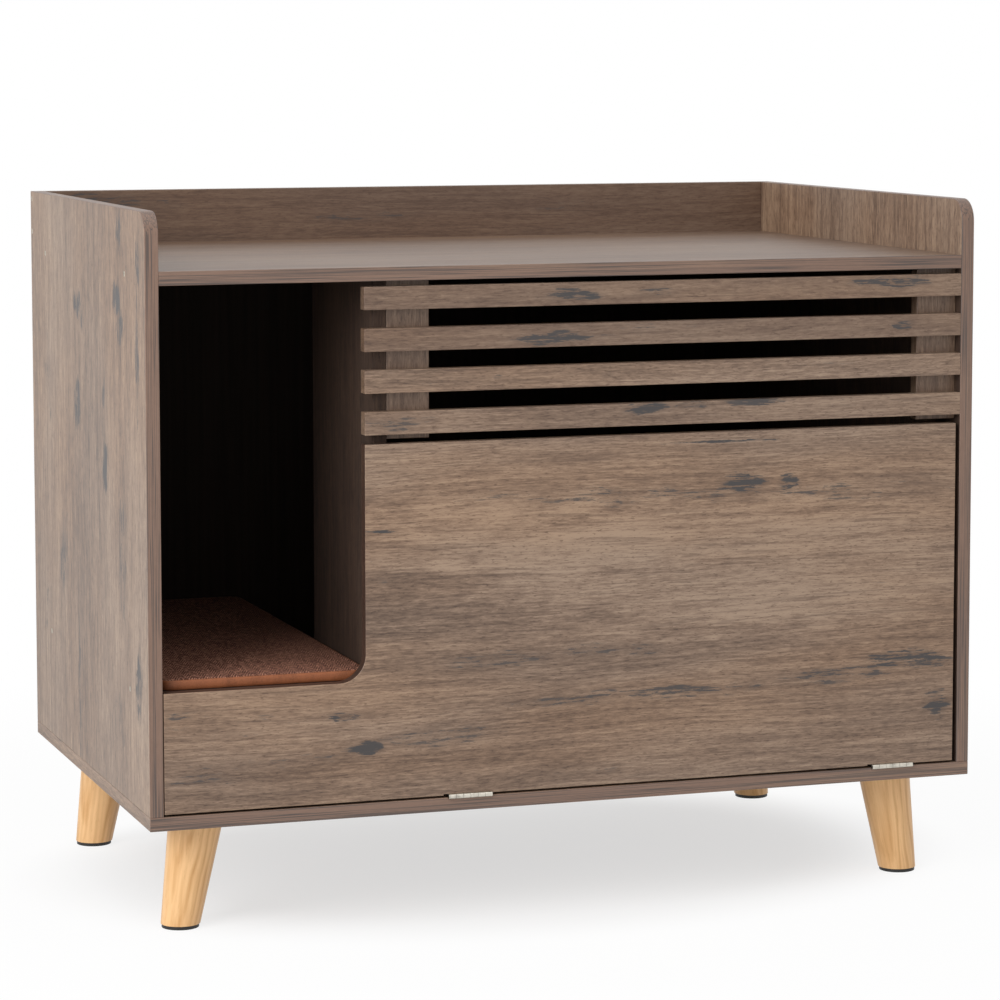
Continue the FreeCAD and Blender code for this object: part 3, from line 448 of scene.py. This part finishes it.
def turned_pine(name):
    """Clear-varnished pine: growth lines along each leg, with fine pores between them."""
    tones = plain_tones(bpy.context.scene.leg_wood)
    finish = Finish(name, {"IOR": 1.5, "Coat Weight": 0.12, "Coat Roughness": 0.25})
    x, y, z = finish.place()
    side = x.above(0) * 2 - 1
    across = x + side * (z * math.tan(LEG_SPLAY))
    sway = finish.noise(across * 18, y * 18, z * 5, 2.0) - 0.5
    lines = finish.noise(across * 240 + sway * 6, y * 240 + sway * 6, z * 4, 4.0, 0.6)
    rings = ((across * 0.8 + y * 0.6) * 105 + sway * 4.5).wave() * 0.5 + 0.5
    pores = finish.noise(across * 900, y * 900, z * 42, 2.0, 0.6)
    tone = (lines - 0.5) * 1.3 + (rings ** 3) * 0.42 + pores.rise(0.60, 0.75) * 0.35 + 0.22
    base = finish.ramp(tone, ((0.12, tones["light"]), (0.92, tones["dark"])))
    return finish.paint(base, 0.42 + lines * 0.1, lines * 0.5 + pores * 0.5, 0.0002, 0.3)


def metal(name, tone, brushed):
    """Plated steel with fine scratches along X and a cloudy tarnish."""
    finish = Finish(name, {"Metallic": 1.0})
    x, y, z = finish.place()
    scratch = finish.noise(x * 90, y * brushed, z * brushed, 3.0, 0.6)
    cloud = finish.noise(x * 160, y * 160, z * 160, 2.0)
    worn = finish.blend(faded(tone, 0.55), tone, (scratch * 0.5 + cloud * 0.5).rise(0.30, 0.58))
    return finish.paint(worn, 0.24 + cloud * 0.22, scratch, 0.00008, 0.3)


def moulded(name, tone, grit, gloss):
    """Moulded plastic or rubber with a fine spark-eroded grain."""
    finish = Finish(name, {"IOR": 1.46})
    x, y, z = finish.place()
    grain = finish.noise(x * grit, y * grit, z * grit, 3.0, 0.6)
    shade = finish.blend(faded(tone, 0.7), tone, grain.rise(0.35, 0.65))
    return finish.paint(shade, gloss + grain * 0.15, grain, 0.00012, 0.4)


def herringbone(name):
    """Twill columns whose slant turns every column: the thread's place is along plus or minus
    across, and pale threads cross dark ones."""
    cloth = bpy.context.scene.mat_cloth
    tones = plain_tones(cloth)
    finish = Finish(name, {"IOR": 1.4, "Specular IOR Level": 0.25})
    x, y, z = finish.place()
    column = x / (cloth.thread * 5)
    slope = (column * 0.5).fraction().above(0.5) * 2 - 1
    run = (y * 0.4 + x * slope) / (cloth.thread * 1.8)
    ridge = run.wave() * 0.5 + 0.5
    twist = ((x - y * slope) / (cloth.thread * 1.3)).wave() * 0.5 + 0.5
    fuzz = finish.noise(x * 420, y * 160, z * 420, 3.0, 0.7)
    patchy = finish.noise(x * 60, y * 60, z * 60, 3.0, 0.6)
    share = ridge * 0.45 + twist * 0.15 + (fuzz - 0.5) * 1.8 + (patchy - 0.5) * 0.25 + 0.04
    share = share.rise(0.12, 0.80)
    base = finish.blend(tones["weft"], tones["warp"], share)
    return finish.paint(base, 0.85, ridge * 0.6 + twist * 0.3 + fuzz * 0.3, 0.0006, 0.7)


def smooth_binding(name):
    """Folded smooth tape: soft creases across it, darker in their hollows as painted shade, and a
    fine grain.
    """
    tones = plain_tones(bpy.context.scene.mat_cloth)
    finish = Finish(name, {"IOR": 1.45})
    x, y, z = finish.place()
    grain = finish.noise(x * 700, y * 700, z * 700, 3.0, 0.6)
    crease = finish.noise(x * 70, y * 70, z * 20, 2.0)
    # Partly painted shade: the tape is darker where its creases are low, mixed with the random tone
    # of its grain
    base = finish.blend(faded(tones["binding"], 0.62), tones["binding"],
                        (grain * 0.5 + crease * 0.5).rise(0.32, 0.6))
    return finish.paint(base, 0.46 + grain * 0.12, crease * 0.7 + grain * 0.3, 0.0005, 0.35)


# ---------------------------------------------------------------------------------------------
# Surfaces
# ---------------------------------------------------------------------------------------------

def ring_quads(rows, columns):
    """The corners of the faces between neighbouring rings of points; each ring closes on
    itself, so the point after its last one is its first."""
    index = np.arange(rows * columns).reshape(rows, columns)
    after = np.roll(index, -1, axis=1)
    return np.stack([index[:-1], after[:-1], after[1:], index[1:]], axis=-1).reshape(-1, 4)


def shade_smooth(mesh):
    """Smooth shading on each face."""
    mesh.polygons.foreach_set("use_smooth", np.ones(len(mesh.polygons), bool))


def smooth_mesh(name, points, quads):
    """A smooth mesh from points and the corners of its faces."""
    mesh = bpy.data.meshes.new(name)
    mesh.from_pydata(points.reshape(-1, 3), [], quads.tolist())
    mesh.validate()
    shade_smooth(mesh)
    return mesh


def ring_mesh(name, rings):
    """A mesh from a grid of points, rings by columns by 3; a first or last ring that is one
    point or one line is closed when its doubles are merged."""
    return smooth_mesh(name, rings, ring_quads(*rings.shape[:2]))


def merge_doubles(piece):
    """Joins points that lie on each other."""
    piece.modifiers.new("join", "WELD").merge_threshold = MERGE


def solid(name, mesh, material, body, node):
    """Puts a mesh on a body, in place of a CAD node, with the doubles at its poles merged."""
    piece = bpy.data.objects.new(name, mesh)
    bpy.context.scene.collection.objects.link(piece)
    merge_doubles(piece)
    piece.data.materials.append(material)
    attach(piece, body)
    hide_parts(node)
    return piece


def rounded_outline(half_width, half_depth, radius, count):
    """Points round a rounded rectangle. Two clipped triangle waves, a quarter turn apart, go
    round a plain rectangle; each point is then drawn in to the radius from the nearest point
    of the rectangle that is smaller by the radius on each side."""
    turn = np.arange(count) * 4 / count
    square = [np.clip(2 * np.abs(np.mod(turn - shift, 4) - 2) - 2, -1, 1) for shift in (0, 1)]
    half = np.array([half_width, half_depth])
    point = np.stack(square, axis=-1) * half
    centre = np.clip(point, radius - half, half - radius)
    away = point - centre
    reach = np.maximum(np.linalg.norm(away, axis=-1, keepdims=True), 1e-9)
    return centre + away / reach * radius


def islands(node):
    """The points of each separate solid of a CAD node. Each point has a label, and the lower
    label of an edge's two ends goes to both until none changes."""
    mesh = frame["nodes"][node].data
    count = len(mesh.vertices)
    place = np.empty(count * 3)
    mesh.vertices.foreach_get("co", place)
    place = place.reshape(-1, 3)
    joined, same = np.unique(np.round(place, 6), axis=0, return_inverse=True)
    same = same.reshape(-1)
    edges = np.empty(len(mesh.edges) * 2, int)
    mesh.edges.foreach_get("vertices", edges)
    edges = same[edges.reshape(-1, 2)]
    label = np.arange(len(joined))
    while True:
        lowest = np.minimum(label[edges[:, 0]], label[edges[:, 1]])
        before = label.copy()
        np.minimum.at(label, edges[:, 0], lowest)
        np.minimum.at(label, edges[:, 1], lowest)
        if np.array_equal(label, before):
            break
    return [joined[label == kind] for kind in np.unique(label)]


def screw_profile(head, shank, length, angle):
    """Radius and depth of each ring of a countersunk screw, by angle. The recess is wide where
    the cosine of twice the angle is far from 0, so it is a cross. After it come the face, the
    cone, a shank with ridges, and the point."""
    even = np.ones_like(angle)
    recess = head * (0.16 + 0.42 * np.clip(1.6 * np.abs(np.cos(2 * angle)) - 0.55, 0, 1))
    profile = [(0.0, head * 0.55), (recess * 0.55, head * 0.55), (recess, 0.0002),
               (head * 0.9, 0.00008), (head, 0.00025), (shank, 0.0002 + head - shank)]
    depth = np.linspace(head, length * 0.86, 17)[1:]
    ridge = np.where(np.arange(16) % 2, 0.78, 1.0)
    profile += [(shank * part, step) for part, step in zip(ridge, depth)]
    profile += [(0.0, length * 0.995)]
    return (np.array([radius * even for radius, step in profile]),
            np.array([step * even for radius, step in profile]))


def screw_mesh(name, node):
    """Turned screws in place of the prisms of a CAD node. A prism's longest side is its axis,
    and its wider end is the head; each ring's radius goes round the axis by cosine and sine."""
    columns = 32
    angle = np.linspace(0, TURN, columns, endpoint=False)
    points, faces = [], []
    for cloud in islands(node):
        low, high = cloud.min(axis=0), cloud.max(axis=0)
        axis = int(np.argmax(high - low))
        first, second = [k for k in range(3) if k != axis]
        middle = (low + high) / 2
        ends = (cloud[cloud[:, axis] < low[axis] + 1e-5],
                cloud[cloud[:, axis] > high[axis] - 1e-5])
        widths = [np.ptp(np.delete(end, axis, axis=1), axis=0).max() for end in ends]
        inward = 1 if widths[0] > widths[1] else -1
        face = low[axis] if inward > 0 else high[axis]
        radius, depth = screw_profile(max(widths) / 2 * 0.98, min(widths) / 2 * 0.93,
                                      (high - low)[axis], angle)
        rings = np.empty((*radius.shape, 3))
        rings[..., axis] = face + inward * depth
        rings[..., first] = middle[first] + radius * np.cos(angle)
        rings[..., second] = middle[second] + radius * np.sin(angle)
        quads = ring_quads(*radius.shape) + radius.size * len(points)
        handed = inward * (-1 if axis == 1 else 1)
        faces.append(quads[:, ::-1] if handed > 0 else quads)
        points.append(rings.reshape(-1, 3))
    return smooth_mesh(name, np.concatenate(points), np.concatenate(faces))


def dress(node, material):
    """Gives a CAD node its finish, and smooth shading across faces that meet gently."""
    piece = frame["nodes"][node]
    piece.data.materials.clear()
    piece.data.materials.append(material)
    shade_smooth(piece.data)
    merge_doubles(piece)
    piece.modifiers.new("sharp edges", "EDGE_SPLIT").split_angle = GENTLE


# ---------------------------------------------------------------------------------------------
# Operators
# ---------------------------------------------------------------------------------------------

class CABINET_OT_carcass(bpy.types.Operator):
    """Wood print on the sides, bottom, top, rail, divider and shelf, and the back panel"""
    bl_idname = "cabinet.carcass"
    bl_label = "Carcass finishes"

    def execute(self, context):
        low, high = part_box("left_side_panel")
        front = low.y + SKIN
        inner_left = high.x - SKIN
        inner_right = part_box("right_side_panel")[0].x + SKIN
        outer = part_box("bottom_panel")[1].x - SKIN
        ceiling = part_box("top_panel")[0].z

        def front_edge(x, y, z):
            """1 on the front edge."""
            return y.below(front)

        def side_edge(x, y, z):
            """1 on the front edge, the top edge and the quarter round between them."""
            back, drop = y - (low.y + SIDE_CORNER), z - (high.z - SIDE_CORNER)
            turned = (back ** 2 + drop ** 2).above((SIDE_CORNER - SKIN) ** 2)
            turned = turned * back.below(0) * drop.above(0)
            return y.below(front).over(z.above(high.z - SKIN)).over(turned)

        side_stains = (
            (759, -171, 30, 16, 0.8), (726, -263, 28, 12, 0.8), (682, -160, 22, 20, 1.0),
            (655, -176, 30, 18, 0.85), (667, 40, 18, 24, 0.85), (650, 20, 20, 16, 0.75),
            (552, 44, 36, 20, 0.95), (490, -96, 36, 14, 1.0), (573, -94, 24, 10, 0.75),
            (569, 206, 60, 20, 0.65), (625, -258, 80, 10, 0.75), (358, 132, 60, 26, 0.75),
            (218, 50, 110, 8, 0.8), (411, -179, 80, 26, 0.7), (270, -253, 50, 20, 0.95),
            (218, -143, 40, 26, 0.7))
        # painted_shade_on marks the faces within the cabinet that are darkened as painted shade
        dress("left_side_panel", wood_print(
            "wood_print_left_side", "Z", 3.7, side_stains, banded=side_edge, dirt=0.55,
            across_scale=0.55,
            painted_shade_on=lambda x, y, z: x.above(inner_left) * z.below(ceiling) * y.above(front)))
        dress("right_side_panel", wood_print(
            "wood_print_right_side", "Z", 11.3, banded=side_edge, dirt=0.5, across_scale=0.7,
            painted_shade_on=lambda x, y, z: x.below(inner_right) * z.below(ceiling) * y.above(front)))
        dress("bottom_panel", wood_print(
            "wood_print_bottom", "X", 5.1, banded=front_edge,
            cross=lambda x, y, z: x.size().above(outer)))
        dress("top_panel", wood_print(
            "wood_print_top", "X", 8.9, banded=front_edge, dirt=0.3, shade=0.45,
            painted_shade_on=lambda x, y, z: z.below(ceiling + SKIN) * y.above(front)))
        dress("back_rail", wood_print(
            "wood_print_rail", "X", 14.2, dirt=0.5, shade=0.62,
            stains=((-395, 772, 70, 12, 0.7), (-330, 764, 40, 9, 0.6), (-60, 748, 90, 9, 0.5))))
        # Painted shade: the divider and the shelf are darkened all over, as if in the shade within
        # the cabinet
        dress("divider_panel", wood_print("wood_print_divider", "Z", 17.6, painted_shade_on=everywhere))
        dress("mat_shelf", wood_print("wood_print_shelf", "Y", 19.4, painted_shade_on=everywhere))
        dress("back_panel", raw_hardboard("back_hardboard"))
        return {"FINISHED"}


class CABINET_OT_front(bpy.types.Operator):
    """Wood print on the slats, the battens and the flip-down door, with their stains"""
    bl_idname = "cabinet.front"
    bl_label = "Front finishes"

    def execute(self, context):
        slat_stains = (
            ((-6, 686, 46, 9, 0.9), (93, 688, 40, 7, 0.7), (376, 692, 60, 8, 0.8)),
            ((-22, 640, 62, 8, 0.9), (393, 644, 16, 5, 0.9), (80, 646, 30, 5, 0.5)),
            ((-90, 599, 7, 3, 0.8), (40, 597, 12, 4, 0.4), (300, 603, 40, 4, 0.4)),
            ((88, 560, 36, 9, 0.9), (139, 561, 26, 7, 0.8), (213, 563, 44, 8, 0.8),
             (-205, 553, 48, 10, 0.6)),
        )
        slat_shades = (0.34, 0.36, 0.0, 0.10)
        for number, node in enumerate(SLAT_NODES):
            dress(node, wood_print(f"wood_print_{node}", "X", 21.3 + 3.1 * number,
                                   slat_stains[number], dirt=0.4, shade=slat_shades[number]))
        for number, node in enumerate(("left_batten", "right_batten")):
            dress(node, wood_print(f"wood_print_{node}", "Z", 37.5 + 4.2 * number, dirt=0.35,
                                   shade=0.25))
        door_stains = (
            (196, 471, 34, 12, 1.0), (254, 470, 15, 11, 1.0), (60, 462, 150, 12, 0.62),
            (260, 458, 130, 10, 0.6), (345, 452, 60, 8, 0.5), (180, 519, 95, 2, 0.9),
            (400, 262, 60, 13, 0.95), (310, 250, 110, 10, 0.7), (120, 241, 130, 10, 0.72),
            (0, 238, 80, 9, 0.7), (438, 207, 20, 16, 1.0), (20, 294, 45, 12, 0.62),
            (83, 290, 28, 9, 0.7), (-87, 288, 70, 11, 0.66), (-241, 200, 24, 12, 1.0),
            (-265, 237, 22, 8, 0.9), (-150, 209, 80, 14, 0.6), (-330, 190, 110, 9, 0.5),
            (-446, 248, 20, 6, 0.7), (-425, 175, 45, 8, 0.66), (-380, 225, 40, 4, 0.55),
            (-221, 436, 22, 2, 0.95), (-60, 470, 90, 8, 0.42), (150, 400, 110, 6, 0.35),
        )
        pale = ((190, 390, 340, 80, 0.26), (-60, 420, 170, 60, 0.14), (330, 330, 160, 40, 0.12))
        low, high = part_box("flip_door")
        leaf_skin = 0.0006
        arm_end = -0.20

        def shaded_entry_edge(x, y, z):
            """1 between the two faces of the board, on the low arm and the edge over it, whose band
            is darkened as painted shade.
            """
            return y.above(low.y + leaf_skin) * y.below(high.y - leaf_skin) * x.below(arm_end)

        # Painted shade: the door's cut edge on the entry is tinted darker by rim_shade, as if in
        # shade
        dress("flip_door", wood_print(
            "wood_print_door", "X", 47.7, door_stains, dirt=0.5, pale=pale,
            rim_shade=(0.42, 0.36, 0.34), banded=shaded_entry_edge))
        return {"FINISHED"}


class CABINET_OT_legs(bpy.types.Operator):
    """Varnished pine on the legs, and the black foot pads"""
    bl_idname = "cabinet.legs"
    bl_label = "Legs and pads"

    def execute(self, context):
        dress("legs", turned_pine("leg_pine"))
        dress("foot_pads", moulded("pad_rubber", tuple(context.scene.hardware.rubber), 900, 0.45))
        dowel = turned_pine("dowel_beech")
        for node in ("divider_dowels", "batten_dowels"):
            dress(node, dowel)
        return {"FINISHED"}


class CABINET_OT_hardware(bpy.types.Operator):
    """Plated and moulded finishes on the hinges, plates, bolts and catches"""
    bl_idname = "cabinet.hardware"
    bl_label = "Hinges, plates and catches"

    def execute(self, context):
        tones = plain_tones(context.scene.hardware)
        nickel = metal("hinge_nickel", tones["nickel"], 900)
        zinc = metal("zinc_plate", tones["zinc"], 500)
        plastic = moulded("catch_plastic", tones["plastic"], 1400, 0.4)
        # Painted shade: the pins are a darker nickel, standing in for the shade in the gaps between
        # the knuckles
        pin = metal("hinge_pin", faded(tones["nickel"], 0.35), 900)
        for side in ("left", "right"):
            dress(f"{side}_hinge_base_leaf", nickel)
            dress(f"{side}_hinge_door_leaf", nickel)
            dress(f"{side}_hinge_pin", pin)
            dress(f"{side}_catch", plastic)
            dress(f"{side}_strike_plate", zinc)
        dress("leg_plates", zinc)
        dress("leg_bolts", zinc)
        return {"FINISHED"}


class CABINET_OT_screws(bpy.types.Operator):
    """Countersunk screws with a cross recess, in place of the plain CAD shanks"""
    bl_idname = "cabinet.screws"
    bl_label = "Screws"

    def execute(self, context):
        zinc = metal("screw_zinc", tuple(context.scene.hardware.zinc), 1500)
        for node in SCREW_NODES:
            body = frame["nodes"][node]["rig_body"]
            solid(f"{node}_turned", screw_mesh(node, node), zinc, body, node)
        return {"FINISHED"}


class CABINET_OT_mat(bpy.types.Operator):
    """The loose mat: a crowned woven pad with a smooth band round its edge"""
    bl_idname = "cabinet.mat"
    bl_label = "Mat"

    def execute(self, context):
        cloth = context.scene.mat_cloth
        low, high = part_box("mat")
        centre = np.array(((low + high) / 2)[:2])
        half_width = (high.x - low.x) / 2 - cloth.play
        half_depth = (high.y - low.y) / 2 - cloth.play
        corner = 0.012         # radius of the corners, seen from above
        columns = 640          # points round the mat
        edge = 0.0022          # inset of the woven pad from the outermost line of the band
        top = high.z - cloth.crown
        seam = top - 0.0016    # height at which the pad goes behind the band
        bottom = low.z

        def rings(levels):
            """A ring for each inset and height: the outline drawn in by the inset, and the
            radius of its corners made less by the same."""
            return np.array([np.column_stack([
                centre + rounded_outline(half_width - inset, half_depth - inset,
                                         max(corner - inset, 0.0), columns),
                np.full(columns, height)]) for inset, height in levels])

        # The pad: flat underneath, a quarter round up to the rim, and a crown that rises by 1
        # less the cube of what is left of the way to the centre line
        start = edge + cloth.rim
        levels = [(half_width, bottom), (half_width * 0.6, bottom), (edge + 0.002, bottom),
                  (edge + 0.0008, bottom + 0.0008), (edge + 0.0006, seam - 0.0015)]
        levels += [(edge + cloth.rim * (1 - math.cos(angle)), seam + (top - seam) * math.sin(angle))
                   for angle in np.linspace(0, math.pi / 2, 9)]
        levels += [(start + (half_width - start) * part, top + cloth.crown * (1 - (1 - part) ** 3))
                   for part in np.linspace(0, 1, 44)[1:]]
        pad = solid("mat_pad", ring_mesh("mat_pad", rings(levels)),
                    herringbone("mat_herringbone"), "mat", "mat")

        # The band: it swells by the root of the cosine between its lower and its upper line,
        # and closes behind the pad; the angle stops short of a right angle
        height = seam + 0.0006 - bottom
        bulge = edge + 0.0008
        steepest = 1.5707
        angles = np.clip(np.linspace(-math.pi / 2, math.pi / 2, 15), -steepest, steepest)
        band = [(bulge - bulge * math.sqrt(math.cos(angle)),
                 bottom + height / 2 * (1 + math.sin(angle))) for angle in angles]
        behind = [(edge + 0.0014, seam - 0.0004), (edge + 0.0014, bottom + 0.0006)]
        solid("mat_binding", ring_mesh("mat_binding", rings(band + behind + band[:1])),
              smooth_binding("mat_binding"), "mat", "mat")
        return {"FINISHED"}


class CABINET_OT_studio(bpy.types.Operator):
    """Pale floor, white surround, soft lamps and the camera"""
    bl_idname = "cabinet.studio"
    bl_label = "Studio"

    def execute(self, context):
        self.floor()
        self.surround(context.scene.studio.surround)
        self.lamp("key", context.scene.studio.key, 2.2, Vector((-3.0, -2.0, 2.0)))
        self.lamp("top", context.scene.studio.top, 2.6, Vector((0.2, -0.6, 3.2)))
        self.camera()
        context.scene.view_settings.view_transform = "Standard"
        return {"FINISHED"}

    def floor(self):
        """A wide plane just under the foot pads. To the camera and to gloss it glows white by a
        share that is low inside an ellipse under the cabinet, where its rendered shadow is kept and
        the weaker glow darkens the floor as painted shadow, and rises outside the ellipse, and a
        little more far away."""
        half = 9.0
        level = -0.0003
        around = ((-1, -1), (1, -1), (1, 1), (-1, 1))
        mesh = bpy.data.meshes.new("studio_floor")
        mesh.from_pydata([(half * x, half * y, level) for x, y in around], [], [(0, 1, 2, 3)])
        plane = bpy.data.objects.new("studio_floor", mesh)
        bpy.context.scene.collection.objects.link(plane)
        finish = Finish("studio_floor", {"Base Color": (0.96, 0.96, 0.96), "Roughness": 0.9,
                                         "Specular IOR Level": 0.0})
        x, y, z = finish.place()
        # Painted shadow: within this ellipse the floor glows less, so it is darker there than the
        # lamps alone make it
        painted_shadow_fade = ((x / 0.50) ** 2 + (y / 0.36) ** 2).rise(0.55, 1.40)
        far = (x * x + y * y).rise(0.5, 2.0)
        share = finish.direct() * (painted_shadow_fade * 0.31 + far * 0.06 + 0.63)
        white = finish.node("ShaderNodeEmission", {}, {"Color": (1, 1, 1), "Strength": 1.0})
        mix = finish.node("ShaderNodeMixShader", {}, {0: share, 1: finish.shader.outputs["BSDF"],
                                                      2: white.outputs["Emission"]})
        finish.feed(finish.output.inputs["Surface"], mix.outputs["Shader"])
        mesh.materials.append(finish.owner)

    def surround(self, strength):
        """The world: white to the camera and to gloss, softer as a light."""
        world = bpy.data.worlds.new("studio")
        bpy.context.scene.world = world
        sky = Tree(world)
        glow = sky.node("ShaderNodeBackground", {},
                        {"Color": (1, 1, 1), "Strength": sky.direct() * (1 - strength) + strength})
        sky.node("ShaderNodeOutputWorld", {}, {"Surface": glow.outputs["Background"]})

    def lamp(self, name, watts, size, place):
        """A square soft lamp that faces the middle of the cabinet."""
        data = bpy.data.lights.new(name, "AREA")
        data.energy = watts
        data.size = size
        lamp = bpy.data.objects.new(name, data)
        middle = Vector((0, 0, 0.4))
        lamp.location = place
        lamp.rotation_euler = (middle - place).to_track_quat("-Z", "Y").to_euler()
        bpy.context.scene.collection.objects.link(lamp)

    def camera(self):
        """A long lens, a little above the cabinet and to its left: turned by yaw to the right,
        pitched down and rolled, from the way it looks along Y."""
        data = bpy.data.cameras.new("view")
        data.sensor_width = 36.0
        data.lens = 129.81
        data.shift_y = -0.1
        data.clip_end = 60.0
        camera = bpy.data.objects.new("view", data)
        bpy.context.scene.collection.objects.link(camera)
        camera.location = (-1.3364, -3.9925, 0.9514)
        yaw, pitch, roll = math.radians(18.687), math.radians(5.531), math.radians(0.052)
        turn = Matrix.Rotation(-yaw, 4, "Z") @ Matrix.Rotation(math.pi / 2 - pitch, 4, "X") \
            @ Matrix.Rotation(-roll, 4, "Z")
        camera.rotation_euler = turn.to_euler()
        bpy.context.scene.camera = camera


STEPS = (CABINET_OT_carcass, CABINET_OT_front, CABINET_OT_legs, CABINET_OT_hardware,
         CABINET_OT_screws, CABINET_OT_mat, CABINET_OT_studio)


class CABINET_PT_panel(bpy.types.Panel):
    """Lists the steps and their settings"""
    bl_idname = "CABINET_PT_panel"
    bl_label = "Litter cabinet"
    bl_space_type = "VIEW_3D"
    bl_region_type = "UI"
    bl_category = "Cabinet"

    def draw(self, context):
        for name, group in LOOKS:
            settings = self.layout.box()
            settings.label(text=name.replace("_", " ").capitalize())
            for key in group.__annotations__:
                settings.prop(getattr(context.scene, name), key)
        for step in STEPS:
            self.layout.operator(step.bl_idname)


def register():
    """Registers the settings, the steps and the panel."""
    for name, group in LOOKS:
        bpy.utils.register_class(group)
        setattr(bpy.types.Scene, name, bpy.props.PointerProperty(type=group))
    for step in STEPS:
        bpy.utils.register_class(step)
    bpy.utils.register_class(CABINET_PT_panel)


def unregister():
    """Takes away what register added."""
    bpy.utils.unregister_class(CABINET_PT_panel)
    for step in reversed(STEPS):
        bpy.utils.unregister_class(step)
    for name, group in reversed(LOOKS):
        delattr(bpy.types.Scene, name)
        bpy.utils.unregister_class(group)


def main():
    """Dresses the cabinet and sets up the studio."""
    register()
    bpy.ops.cabinet.carcass()
    bpy.ops.cabinet.front()
    bpy.ops.cabinet.legs()
    bpy.ops.cabinet.hardware()
    bpy.ops.cabinet.screws()
    bpy.ops.cabinet.mat()
    bpy.ops.cabinet.studio()


if __name__ == "__main__":
    main()
